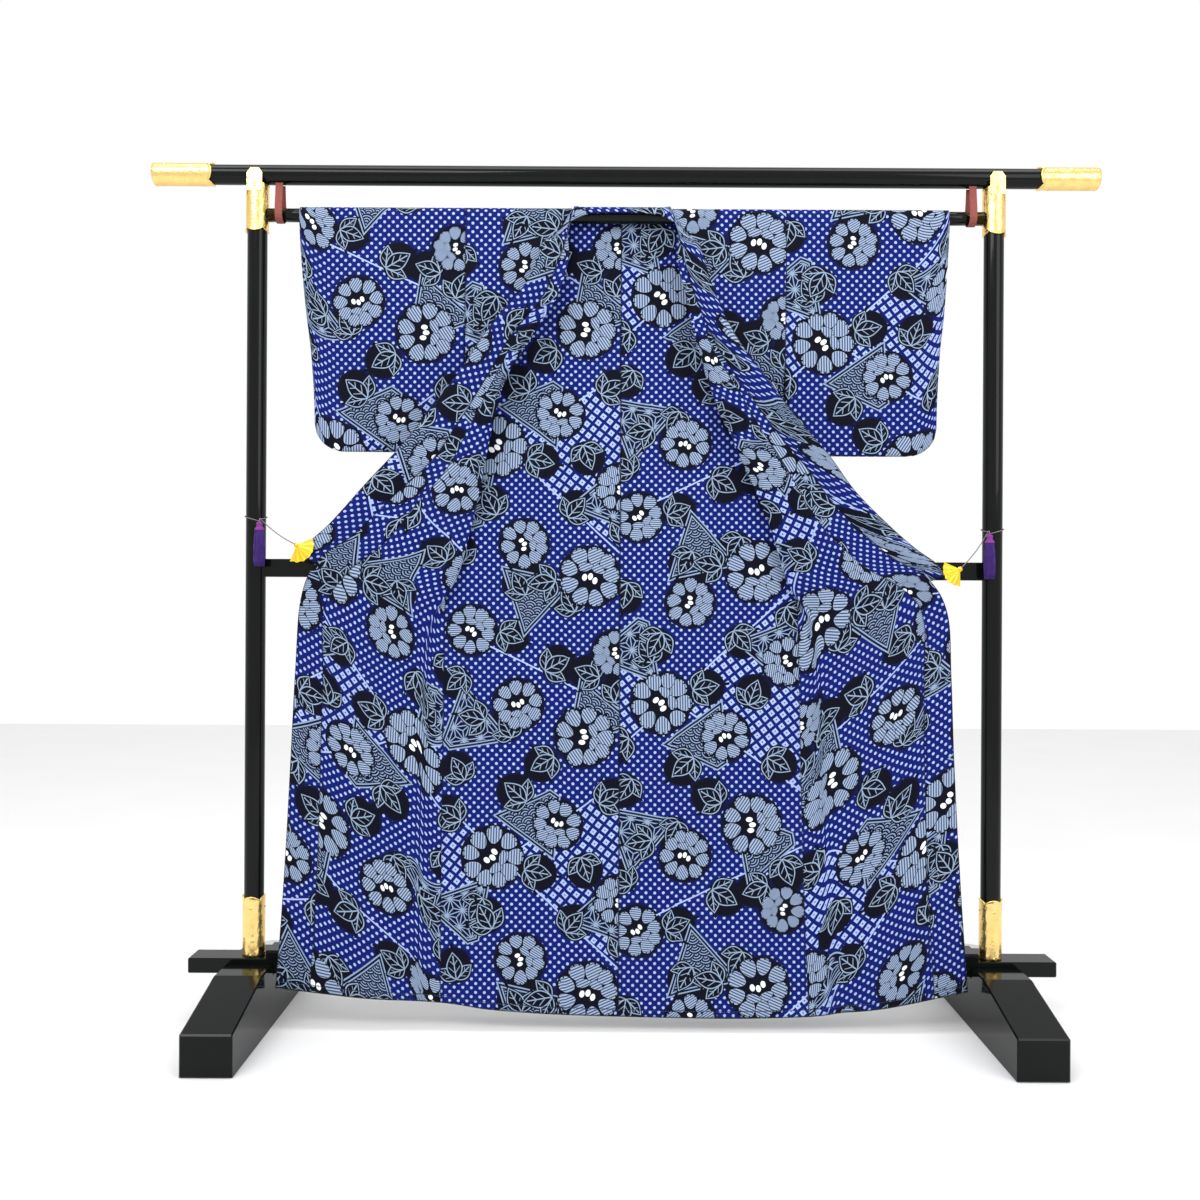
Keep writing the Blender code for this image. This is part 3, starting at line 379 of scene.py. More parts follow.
# clips: place of the pivot, directions of the fan's two sides, level of the cord's knot
CLIPS = {
    -1: {"px": -641.0, "pz": 954.0, "first": 24.0, "last": -112.0, "knot_z": 1003.0},
    1: {"px": 655.0, "pz": 914.0, "first": 157.0, "last": 270.0, "knot_z": 985.0},
}
CLIP_Y = -66.0
FAN = 34.0


class Wire:
    """A number in a shader tree; arithmetic on wires makes math nodes."""

    def __init__(self, tree, end):
        self.tree = tree
        self.end = end

    def __add__(self, other):
        return calc("ADD", self, other)

    def __sub__(self, other):
        return calc("SUBTRACT", self, other)

    def __rsub__(self, other):
        return calc("SUBTRACT", other, self)

    def __mul__(self, other):
        return calc("MULTIPLY", self, other)

    def __truediv__(self, other):
        return calc("DIVIDE", self, other)

    def __gt__(self, other):
        return calc("GREATER_THAN", self, other)

    def __lt__(self, other):
        return calc("LESS_THAN", self, other)

    def __abs__(self):
        return calc("ABSOLUTE", self)


def feed(tree, socket, value):
    """Joins a wire to a socket, or gives the socket a fixed value."""
    if isinstance(value, Wire):
        tree.links.new(value.end, socket)
    else:
        socket.default_value = value


def calc(operation, *values):
    tree = next(value.tree for value in values if isinstance(value, Wire))
    made = tree.nodes.new("ShaderNodeMath")
    made.operation = operation
    for socket, value in zip(made.inputs, values):
        feed(tree, socket, value)
    return Wire(tree, made.outputs[0])


def most(*values):
    out = values[0]
    for value in values[1:]:
        out = calc("MAXIMUM", out, value)
    return out


def least(*values):
    out = values[0]
    for value in values[1:]:
        out = calc("MINIMUM", out, value)
    return out


def fract(value):
    return calc("FRACT", value)


def reach(x, y):
    return calc("SQRT", x * x + y * y)


def turned(x, y, degrees):
    a = math.radians(degrees)
    return x * math.cos(a) + y * math.sin(a), y * math.cos(a) - x * math.sin(a)


def shader_group(name, takes, gives, build):
    """A node group of numbers: takes and gives are socket names."""
    tree = bpy.data.node_groups.new(name, "ShaderNodeTree")
    for title in takes:
        tree.interface.new_socket(title, in_out="INPUT", socket_type="NodeSocketFloat")
    for title in gives:
        tree.interface.new_socket(title, in_out="OUTPUT", socket_type="NodeSocketFloat")
    start = tree.nodes.new("NodeGroupInput")
    end = tree.nodes.new("NodeGroupOutput")
    made = build(*[Wire(tree, start.outputs[title]) for title in takes])
    for title, wire in zip(gives, made):
        tree.links.new(wire.end, end.inputs[title])
    return tree


def use_group(tree, group, *values):
    """Places a group in a tree with its own values and returns its outputs as wires."""
    node = tree.nodes.new("ShaderNodeGroup")
    node.node_tree = group
    for socket, value in zip(node.inputs, values):
        feed(tree, socket, value)
    return [Wire(tree, socket) for socket in node.outputs]


# the small repeats of the print, millimetres
DOT_ACROSS = 17.2
DOT_ALONG = 8.6
DOT_RADIUS = 2.9
LATTICE_PITCH = 16.6
LATTICE_TURN = 38
LATTICE_OUTER = 5.2
LATTICE_HOLE = 1.25
WAVE_RADIUS = 17.0
HEMP_EDGE = 33.0
LINE_HALF = 1.0
# a motif is drawn where its nearness is above this
NEAR = 0.98


def middle_of_repeat(value, pitch):
    """Distance from the middle of the repeat that a place falls in."""
    return (fract(value / pitch) - 0.5) * pitch


def build_dots(u, v):
    """Round dots, every second row shifted by half a step."""
    odd = fract(calc("FLOOR", v / DOT_ALONG) * 0.5) * 2.0
    x = (fract(u / DOT_ACROSS + odd * 0.5) - 0.5) * DOT_ACROSS
    return [reach(x, middle_of_repeat(v, DOT_ALONG)) < DOT_RADIUS]


def build_lattice(u, v):
    """Small squares with a hole, set on the slant."""
    p, q = turned(u, v, LATTICE_TURN)
    far = most(abs(middle_of_repeat(p, LATTICE_PITCH)), abs(middle_of_repeat(q, LATTICE_PITCH)))
    return [(far < LATTICE_OUTER) - (far < LATTICE_HOLE)]


def build_waves(x, y):
    """Overlapping scales of three rings, the nearer row over the one above it."""
    rise = WAVE_RADIUS / 2
    across = WAVE_RADIUS * 2
    lift = calc("FLOOR", y / rise)
    found = None
    for step in (1.0, 0.0, -1.0):
        row = lift + step
        odd = fract(row * 0.5) * 2.0
        cx = (fract(x / across + odd * 0.5) - 0.5) * across
        cy = y - row * rise
        far = reach(cx, cy) / WAVE_RADIUS
        inside = far < 1.0
        ring = fract(far * 3.33 + 0.33) > 0.62
        if found is None:
            found = ring * inside
        else:
            found = found * (1.0 - inside) + ring * inside
    return [found]


def build_hemp(x, y):
    """Hemp-leaf stars: a grid of triangles, each split from its middle to its corners."""
    high = HEMP_EDGE * 0.866
    parts = []
    for nx, ny in ((0.0, 1.0), (0.866, -0.5), (-0.866, -0.5)):
        parts.append(fract((x * nx + y * ny) / high + 40.0))
    down = (parts[0] + parts[1] + parts[2]) > 1.5
    near = [abs(down - part) for part in parts]
    lines = [(least(*near) * high) < LINE_HALF]
    for i, j, k in ((0, 1, 2), (1, 2, 0), (2, 0, 1)):
        ray = abs(near[i] - near[j]) * (high / 1.732) < LINE_HALF
        lines.append(ray * (near[k] > 0.32))
    return [most(*lines)]


# petals of one blossom in its own size: centre, half length, half breadth, turn
BLOSSOM_PETALS = [
    (0.02, 0.74, 0.265, 0.260, 90), (0.52, 0.57, 0.255, 0.245, 48), (0.76, 0.08, 0.24, 0.245, 8),
    (0.62, -0.44, 0.265, 0.240, -35), (0.14, -0.70, 0.265, 0.240, -76),
    (-0.36, -0.64, 0.250, 0.225, -116), (-0.72, -0.24, 0.260, 0.245, 198),
    (-0.68, 0.26, 0.240, 0.235, 160), (-0.42, 0.66, 0.235, 0.215, 126),
    (-0.20, 0.34, 0.21, 0.135, 14), (0.24, 0.30, 0.22, 0.135, -22),
]


def build_blossom(x, y, on):
    """Hatched petals lapping over each other round three seeds, on a dark ground."""
    petals = None
    rim = None
    dark = None
    for cx, cy, long, wide, turn in BLOSSOM_PETALS:
        px, py = turned(x - cx, y - cy, turn)
        # each petal is narrow at its root and broad at its rim, with small notches in it
        around_it = calc("ARCTAN2", py, px)
        notches = most(0.0, calc("COSINE", around_it * 9.0) - 0.45) * most(0.0, calc("COSINE", around_it))
        breadth = (px / long) * 0.26 + 1.0
        far = reach(px / (long * 1.16), py / (breadth * (wide * 1.06))) * (notches * 0.60 + 1.0)
        petal = far < 1.0
        edge = petal * (far > 0.90)
        around = far < 1.30
        outside = far > 1.11
        petals = petal if petals is None else most(petals * outside, petal)
        rim = edge if rim is None else most(rim * outside, edge)
        dark = around if dark is None else most(dark, around)
    seeds = None
    for cx, cy in ((-0.19, -0.075), (0.0, 0.02), (0.19, -0.06)):
        seed = reach((x - cx) / 0.085, (y - cy) / 0.118) < 1.0
        seeds = seed if seeds is None else most(seeds, seed)
    hatch = least(most(calc("SINE", (x * 0.8 + y) * 54.0) * 0.9 + 0.45, 0.0), 1.0)
    on = on > NEAR
    dark = most(dark, reach(x, y) < 0.6) * on
    return [petals * on, rim * on, hatch * petals * on, seeds * on, dark]


def build_spray(x, y, on):
    """One long leaf and a pair at its root, in outline with a rib and veins."""
    on = on > NEAR
    outline = None
    body = None
    side = abs(y)
    ax, ay = turned(x, side, 54)
    for lx, ly, size in ((x, y, 1.0), (ax, ay, 0.80)):
        s = most(least(lx / size, 1.0), 0.0)
        half = calc("SINE", calc("POWER", s, 0.85) * math.pi) * 0.30 * size
        t = abs(ly)
        gap = half - t
        inside = (gap > 0.0) * (s > 0.0)
        edge = inside * (gap < 0.040)
        rib = inside * (t < 0.019) * (s < 0.86)
        veins = inside * (fract((s - t * 1.1 / size) * 3.4 + 0.25) < 0.125) * (gap > 0.09)
        lines = most(edge, rib, veins)
        grown = (gap > -0.05) * (s > 0.0)
        if outline is None:
            outline = lines
            body = grown
            first = inside
        else:
            outline = most(outline, lines * (1.0 - first))
            body = most(body, grown)
    return [outline * on, body * on]


def build_kite(x, y, fill, on, waves, hemp):
    """Pointed panel with a double border, filled with waves or with stars."""
    on = on > NEAR
    sides = []
    for degrees, push in ((90, 44.0), (210, 44.0), (330, 44.0), (150, 66.0)):
        a = math.radians(degrees)
        sides.append(x * math.cos(a) + y * math.sin(a) - push)
    deep = most(*sides)
    body = (deep < 0.0) * on
    border = most(abs(deep + 1.5) < 1.3, abs(deep + 7.6) < 1.2)
    inner = (deep + 10.5) < 0.0
    pattern = (waves * (1.0 - fill) + hemp * fill) * inner
    return [body, most(border, pattern) * body]


def build_sewn(u, low, side):
    """Hem stitches, the fold of the hem and of the seams (used for their dent and for painted shade along
    them), and a darker rim along the bottom edge.
    """
    stitch = (abs(low - 14.0) < 0.7) * (fract(u / 5.0) < 0.55)
    fold = most(abs(low - 15.5) < 0.8, side < 2.3)
    return [stitch, fold, low < 3.4]


def build_weave(u, v):
    """Height of the plain weave."""
    warp = calc("SINE", u * 4.2)
    weft = calc("SINE", v * 4.2)
    return [(warp * weft) * 0.5 + 0.5]


def paint_kit(name):
    material = bpy.data.materials.new(name)
    material.use_nodes = True
    tree = material.node_tree
    shader = tree.nodes["Principled BSDF"]
    return material, tree, shader


def finish_paint(tree, shader, colour, rough, **fixed):
    """Joins colour and roughness to the shader and sets its fixed values."""
    tree.links.new(colour.end, shader.inputs["Base Color"])
    tree.links.new(rough.end, shader.inputs["Roughness"])
    for name, value in fixed.items():
        shader.inputs[name.replace("_", " ")].default_value = value


def colour_mix(tree, mask, first, second):
    node = tree.nodes.new("ShaderNodeMix")
    node.data_type = "RGBA"
    feed(tree, node.inputs[0], mask)
    for socket, value in ((node.inputs[6], first), (node.inputs[7], second)):
        feed(tree, socket, value if isinstance(value, Wire) else value + (1.0,))
    return Wire(tree, node.outputs[2])


def attribute_parts(tree, name):
    read = tree.nodes.new("ShaderNodeAttribute")
    read.attribute_name = name
    parts = tree.nodes.new("ShaderNodeSeparateXYZ")
    tree.links.new(read.outputs["Vector"], parts.inputs[0])
    return [Wire(tree, socket) for socket in parts.outputs]


def attribute_value(tree, name):
    read = tree.nodes.new("ShaderNodeAttribute")
    read.attribute_name = name
    return Wire(tree, read.outputs["Fac"])


def noise(tree, scale, detail, stretch=None):
    """Soft noise in the piece's own space, drawn out along each axis by stretch."""
    node = tree.nodes.new("ShaderNodeTexNoise")
    feed(tree, node.inputs["Scale"], scale)
    node.inputs["Detail"].default_value = detail
    place = tree.nodes.new("ShaderNodeTexCoord").outputs["Object"]
    if stretch is not None:
        sizes = tree.nodes.new("ShaderNodeCombineXYZ")
        for socket, value in zip(sizes.inputs, stretch):
            feed(tree, socket, value)
        drawn = tree.nodes.new("ShaderNodeVectorMath")
        drawn.operation = "MULTIPLY"
        tree.links.new(place, drawn.inputs[0])
        tree.links.new(sizes.outputs[0], drawn.inputs[1])
        place = drawn.outputs[0]
    tree.links.new(place, node.inputs["Vector"])
    return Wire(tree, node.outputs["Fac"])


def build_hammered(dent_scale, tone_scale):
    """Dents of a hammered face and a cloudy tone."""
    tree = dent_scale.tree
    cells = tree.nodes.new("ShaderNodeTexVoronoi")
    cells.feature = "SMOOTH_F1"
    feed(tree, cells.inputs["Scale"], dent_scale)
    place = tree.nodes.new("ShaderNodeTexCoord").outputs["Object"]
    tree.links.new(place, cells.inputs["Vector"])
    return [Wire(tree, cells.outputs["Distance"]), noise(tree, tone_scale, 4.0)]


def build_yarn(scale, across, through, along):
    """Fine strands drawn out along one axis, and a softer unevenness."""
    tree = scale.tree
    return [noise(tree, scale, 4.0, (across, through, along)), noise(tree, 40.0, 3.0)]


def bumped(tree, shader, height, strength, distance):
    node = tree.nodes.new("ShaderNodeBump")
    node.inputs["Strength"].default_value = strength
    node.inputs["Distance"].default_value = distance
    tree.links.new(height.end, node.inputs["Height"])
    tree.links.new(node.outputs["Normal"], shader.inputs["Normal"])


ROYAL = (0.0030, 0.0085, 0.1250)
NAVY = (0.0012, 0.0018, 0.0080)
PALE = (0.3700, 0.4700, 0.7600)
ASH = (0.2600, 0.3500, 0.4900)
PETAL = (0.3200, 0.4100, 0.6000)
WHITE = (0.8200, 0.8600, 0.8800)


def cotton_material():
    """Blue printed cotton: grounds, panels, leaves and blossoms laid over each other in turn."""
    material, tree, shader = paint_kit("yukata_cotton_print")
    dots = shader_group("dot_grid", ("u", "v"), ("Mask",), build_dots)
    lattice = shader_group("square_lattice", ("u", "v"), ("Mask",), build_lattice)
    waves = shader_group("wave_scales", ("x", "y"), ("Mask",), build_waves)
    hemp = shader_group("hemp_leaf", ("x", "y"), ("Mask",), build_hemp)
    blossom = shader_group("blossom", ("x", "y", "near"),
                           ("Petal", "Rim", "Hatch", "Seed", "Dark"), build_blossom)
    spray = shader_group("leaf_spray", ("x", "y", "near"), ("Line", "Body"), build_spray)
    kite = shader_group("kite_panel", ("x", "y", "fill", "near", "waves", "hemp"),
                        ("Body", "Line"), build_kite)
    sewn = shader_group("sewn_edge", ("u", "low", "side"), ("Stitch", "Fold", "Rim"), build_sewn)
    weave = shader_group("weave", ("u", "v"), ("Height",), build_weave)

    u, v, _ = attribute_parts(tree, "cloth_mm")
    bx, by, b_near = attribute_parts(tree, "blossom")
    sx, sy, s_near = attribute_parts(tree, "spray")
    mx, my, m_near = attribute_parts(tree, "more_spray")
    kx, ky, k_near = attribute_parts(tree, "kite")
    side, low, _ = attribute_parts(tree, "edge_mm")
    fill = attribute_value(tree, "kite_fill") > 0.5
    shade = attribute_value(tree, "shade")

    # three slanting lines part the ground into dots and squares
    lap = fract(v / REPEAT) * REPEAT
    passed = []
    lines = []
    for start, slope in ((100.0, 0.9), (500.0, -0.7), (620.0, 0.45)):
        beyond = lap - u * slope - start
        passed.append(beyond > 0.0)
        lines.append((abs(beyond) / math.hypot(1.0, slope)) < 1.5)
    zone = abs(passed[0] - passed[1]) * (1.0 - passed[2])
    clear = shade < 0.42
    dot = use_group(tree, dots, u, v)[0] * (1.0 - zone)
    square = use_group(tree, lattice, u, v)[0] * zone
    ground_print = most(dot, square) * clear * (1.0 - most(*lines))
    ground_print = most(ground_print, most(*lines) * (shade < 0.62))
    wash = noise(tree, 9.0, 4.0)
    depth = least(most(shade * 1.9 - 0.25, 0.0), 1.0)
    base = colour_mix(tree, depth, ROYAL, NAVY)
    colour = colour_mix(tree, ground_print * (wash * 0.35 + 0.72), base, PALE)
    wave = use_group(tree, waves, kx, ky)[0]
    star = use_group(tree, hemp, kx, ky)[0]
    panel, panel_line = use_group(tree, kite, kx, ky, fill, k_near, wave, star)
    panel_ground = colour_mix(tree, 0.80, ROYAL, NAVY)
    colour = colour_mix(tree, panel, colour, panel_ground)
    colour = colour_mix(tree, panel_line * 0.9, colour, ASH)
    for lx, ly, near in ((mx, my, m_near), (sx, sy, s_near)):
        vein, leaf = use_group(tree, spray, lx, ly, near)
        colour = colour_mix(tree, leaf, colour, NAVY)
        colour = colour_mix(tree, vein * 0.95, colour, ASH)
    petal, rim, hatch, seed, dark = use_group(tree, blossom, bx, by, b_near)
    colour = colour_mix(tree, dark, colour, NAVY)
    colour = colour_mix(tree, petal * (1.0 - hatch * 0.86), colour, PETAL)
    colour = colour_mix(tree, rim * 0.35, colour, ASH)
    colour = colour_mix(tree, seed, colour, WHITE)
    stitch, fold, edge = use_group(tree, sewn, u, low, side)
    # painted shade: near-black lines along the hem fold and the seams, where those creases fall into shadow
    colour = colour_mix(tree, fold * 0.72, colour, (0.002, 0.003, 0.010))
    colour = colour_mix(tree, stitch * 0.7, colour, (0.05, 0.07, 0.16))
    # a darker rim along the bottom edge of the cloth
    colour = colour_mix(tree, edge * 0.75, colour, (0.020, 0.022, 0.030))
    finish_paint(tree, shader, colour, wash * 0.16 + 0.74,
                 Sheen_Weight=0.015, Sheen_Roughness=0.6, Specular_IOR_Level=0.10)
    threads = use_group(tree, weave, u, v)[0]
    crumple = noise(tree, 26.0, 5.0)
    bumped(tree, shader, threads * 0.25 + crumple * 1.6 + stitch * 0.5 - fold * 0.8, 0.55, 0.0011)
    return material


def lacquer_material():
    """Glossy black lacquer with a faint haze and dust."""
    material, tree, shader = paint_kit("black_lacquer_gloss")
    haze = noise(tree, 14.0, 4.0)
    flow = noise(tree, 5.0, 2.0)
    dust = noise(tree, 420.0, 2.0)
    colour = colour_mix(tree, haze, (0.0018, 0.0024, 0.0021), (0.0040, 0.0050, 0.0045))
    finish_paint(tree, shader, colour, haze * 0.07 + (dust > 0.66) * 0.10 + 0.07,
                 Specular_IOR_Level=0.12, Coat_Weight=0.09, Coat_Roughness=0.03)
    bumped(tree, shader, flow, 0.12, 0.002)
    return material


hammered = shader_group("hammered_face", ("dent scale", "tone scale"), ("Dents", "Tone"), build_hammered)
yarn = shader_group("yarn_strands", ("scale", "across", "through", "along"), ("Strands", "Soft"), build_yarn)


def gold_material(name, pale, dark, depth):
    """Gilt metal with hammered dents."""
    material, tree, shader = paint_kit(name)
    dents, tone = use_group(tree, hammered, 150.0, 60.0)
    colour = colour_mix(tree, tone, pale, dark)
    finish_paint(tree, shader, colour, tone * 0.22 + 0.16, Metallic=1.0)
    bumped(tree, shader, dents, depth, 0.0016)
    return material


def thread_material(name, light, dark, scale, stretch, bump_depth):
    """Soft yarn: its strands run the way that stretch draws them out."""
    material, tree, shader = paint_kit(name)
    strands, soft = use_group(tree, yarn, scale, *stretch)
    colour = colour_mix(tree, least(strands * 0.8 + soft * 0.3, 1.0), dark, light)
    finish_paint(tree, shader, colour, soft * 0.2 + 0.62,
                 Sheen_Weight=0.06, Sheen_Roughness=0.4, Specular_IOR_Level=0.25)
    bumped(tree, shader, strands, 0.7, bump_depth)
    return material


cotton = cotton_material()
lacquer = lacquer_material()
gold = gold_material("gold_fitting_hammered", (1.0, 0.78, 0.32), (0.80, 0.52, 0.15), 0.35)
bright_gold = gold_material("gold_fitting_bright", (1.0, 0.72, 0.07), (0.88, 0.54, 0.03), 0.06)
strap_red = thread_material("red_strap_weave", (0.300, 0.080, 0.065), (0.150, 0.036, 0.030),
                            260.0, (1.0, 0.35, 3.0), 0.0008)
cord_purple = thread_material("purple_cord_twist", (0.230, 0.180, 0.220), (0.110, 0.080, 0.115),
                              700.0, (1.0, 1.0, 1.0), 0.0005)
tassel_dark = thread_material("purple_tassel_strands", (0.070, 0.022, 0.230), (0.024, 0.008, 0.095),
                              330.0, (1.0, 1.0, 0.12), 0.0008)
tassel_head = thread_material("purple_tassel_head", (0.240, 0.040, 0.270), (0.100, 0.016, 0.130),
                              420.0, (1.0, 1.0, 0.4), 0.0006)


# the print: where each motif stands on a repeat of the cloth, millimetres across and along it
BLOSSOMS = table(
    ("u", "v", "r", "turn"),
    (80, 70, 58, 15), (214, 132, 46, 70), (272, 330, 58, 130), (144, 398, 46, 200),
    (90, 572, 56, 95), (224, 632, 47, 160), (318, 778, 46, 35), (30, 738, 42, 250),
    (20, 250, 46, 300),
)
SPRAYS = table(
    ("u", "v", "turn", "long"),
    (150, 60, -10, 58), (20, 140, 120, 56), (270, 190, 60, 58), (126, 188, 130, 54),
    (208, 306, 190, 56), (336, 400, 30, 56), (206, 440, 40, 58), (60, 440, 150, 56),
    (30, 640, 110, 56), (170, 700, 150, 58), (290, 600, 10, 56), (262, 776, 200, 52),
)
MORE_SPRAYS = table(
    ("u", "v", "turn", "long"),
    (110, 0, 60, 54), (290, 250, -60, 52), (340, 90, 80, 54), (96, 336, 250, 54),
    (150, 530, -30, 56), (60, 690, 20, 54), (330, 690, -40, 50), (236, 566, 60, 50),
    (210, 30, 60, 54), (330, 480, 60, 52),
)
KITES = table(
    ("u", "v", "turn", "fill"),
    (196, 30, 12, 0), (40, 225, 200, 1), (330, 225, 100, 1), (185, 405, -25, 0),
    (320, 590, 170, 1), (70, 612, 40, 0),
)
KITE_REACH = 92.0
CELL = 8.0

# how each piece's cloth was laid against the repeat when it was cut
CUTS = {
    "body_left": {"du": 20, "dv": 0, "flip": 1}, "body_right": {"du": 5, "dv": 150, "flip": -1},
    "sleeve_left": {"du": 10, "dv": 330, "flip": 1}, "sleeve_right": {"du": 12, "dv": 560, "flip": -1},
    "overlap_left": {"du": 160, "dv": 260, "flip": 1}, "overlap_right": {"du": 40, "dv": 610, "flip": -1},
    "collar": {"du": 150, "dv": 90, "flip": 1},
}

# soft creases on each piece: ends on the cloth, half breadth, rise (minus for a trough)
CREASE_COLUMN_NAMES = ("u0", "v0", "u1", "v1", "wide", "rise")
CREASES = {
    "body_left": table(
        CREASE_COLUMN_NAMES,
        (60, -250, 75, -1480, 26, 3.2), (128, -420, 140, -1560, 20, -2.6),
        (215, -160, 232, -980, 24, 2.4), (265, -620, 250, -1500, 18, -2.2),
        (20, -90, 150, -210, 13, -1.4), (150, 120, 60, 560, 15, 2.2),
        (190, 260, 95, 760, 18, -2.4), (110, 700, 120, 1450, 22, 2.6),
        (200, 820, 190, 1540, 17, -2.0), (40, 640, 70, 1180, 14, -1.8),
        (250, 30, 246, 250, 16, 1.6),
    ),
    "body_right": table(
        CREASE_COLUMN_NAMES,
        (48, -330, 66, -1380, 22, -2.8), (110, -200, 128, -1560, 27, 3.3),
        (188, -520, 172, -1420, 19, -2.2), (262, -140, 280, -1100, 23, 2.2),
        (170, -80, 40, -190, 12, -1.3), (160, 150, 72, 640, 17, 2.4),
        (210, 330, 112, 840, 15, -2.3), (90, 780, 100, 1500, 24, 2.4),
        (180, 740, 205, 1380, 18, -2.2), (268, 40, 262, 270, 15, 1.5),
    ),
    "sleeve_left": table(
        CREASE_COLUMN_NAMES,
        (60, 60, 78, 470, 20, 2.0), (130, 30, 120, 380, 14, -1.7), (215, 110, 236, 450, 22, 2.2),
        (280, 40, 262, 300, 15, -1.5), (30, 240, 190, 262, 9, -0.9), (90, 620, 96, 900, 18, 1.8),
        (210, 560, 190, 930, 16, -1.7),
    ),
    "sleeve_right": table(
        CREASE_COLUMN_NAMES,
        (48, 40, 60, 330, 16, -1.6), (118, 90, 130, 480, 21, 2.1), (190, 30, 178, 360, 14, -1.6),
        (262, 120, 280, 440, 19, 1.9), (120, 250, 300, 238, 9, -0.9), (80, 600, 84, 920, 17, 1.7),
        (230, 580, 215, 900, 15, -1.6),
    ),
    "overlap_left": table(
        CREASE_COLUMN_NAMES,
        (30, 420, 26, 1200, 14, 1.2), (12, 300, 40, 520, 10, -1.0),
    ),
    "overlap_right": table(
        CREASE_COLUMN_NAMES,
        (34, 380, 30, 1120, 13, 1.2), (44, 620, 12, 860, 11, -1.0),
    ),
    "collar": table(
        CREASE_COLUMN_NAMES,
        (10, 120, 44, 210, 9, -0.9), (12, 560, 40, 640, 9, -0.8), (40, 1420, 10, 1500, 9, -0.9),
        (14, 1700, 42, 1790, 8, 0.8),
    ),
}


def nearest_motif(places, u, v, reach_of):
    """Local place of every point in its nearest motif's own axes, and 1 where it is near."""
    best = np.full(u.shape, 1e9)
    x = np.zeros(u.shape)
    y = np.zeros(u.shape)
    near = np.zeros(u.shape)
    which = np.zeros(u.shape, int)
    wrapped = np.mod(v, REPEAT)
    for k, place in enumerate(places):
        for lap in (-REPEAT, 0.0, REPEAT):
            reach, cx, cy, turn = reach_of(place)
            du = u - place["u"] - cx
            dv = wrapped - place["v"] - cy - lap
            far = np.hypot(du, dv) / reach
            hit = far < best
            a = math.radians(turn)
            eu = u - place["u"]
            ev = wrapped - place["v"] - lap
            x = np.where(hit, eu * math.cos(a) + ev * math.sin(a), x)
            y = np.where(hit, -eu * math.sin(a) + ev * math.cos(a), y)
            near = np.where(hit, (far * reach < reach + 1.5 * CELL).astype(float), near)
            which = np.where(hit, k, which)
            best = np.where(hit, far, best)
    return x, y, near, which, best


def blossom_reach(place):
    return place["r"], 0.0, 0.0, place["turn"]


def spray_reach(place):
    a = math.radians(place["turn"])
    half = place["long"] * 0.52
    return place["long"] * 0.62, half * math.cos(a), half * math.sin(a), place["turn"]


def kite_reach(place):
    return KITE_REACH, 0.0, 0.0, place["turn"]


def crease_lift(name, u, v):
    lift = np.zeros(u.shape)
    for crease in CREASES[name]:
        du = crease["u1"] - crease["u0"]
        dv = crease["v1"] - crease["v0"]
        long2 = du * du + dv * dv
        t = ((u - crease["u0"]) * du + (v - crease["v0"]) * dv) / long2
        bend = 0.35 * crease["wide"] * np.sin(t * 7.0 + crease["u0"])
        away = ((u - crease["u0"]) * dv - (v - crease["v0"]) * du) / math.sqrt(long2) + bend
        inside = np.clip(t, 0, 1) * np.clip(1 - t, 0, 1) * 4
        fade = np.where((t > 0) & (t < 1), np.minimum(1.0, inside * 1.6), 0.0)
        lift += crease["rise"] * fade * np.exp(-(away / crease["wide"]) ** 2)
    return lift


def add_attribute(data, name, kind, values):
    layer = data.attributes.new(name, kind, "POINT")
    key = "vector" if kind == "FLOAT_VECTOR" else "value"
    layer.data.foreach_set(key, np.asarray(values, np.float32).ravel())


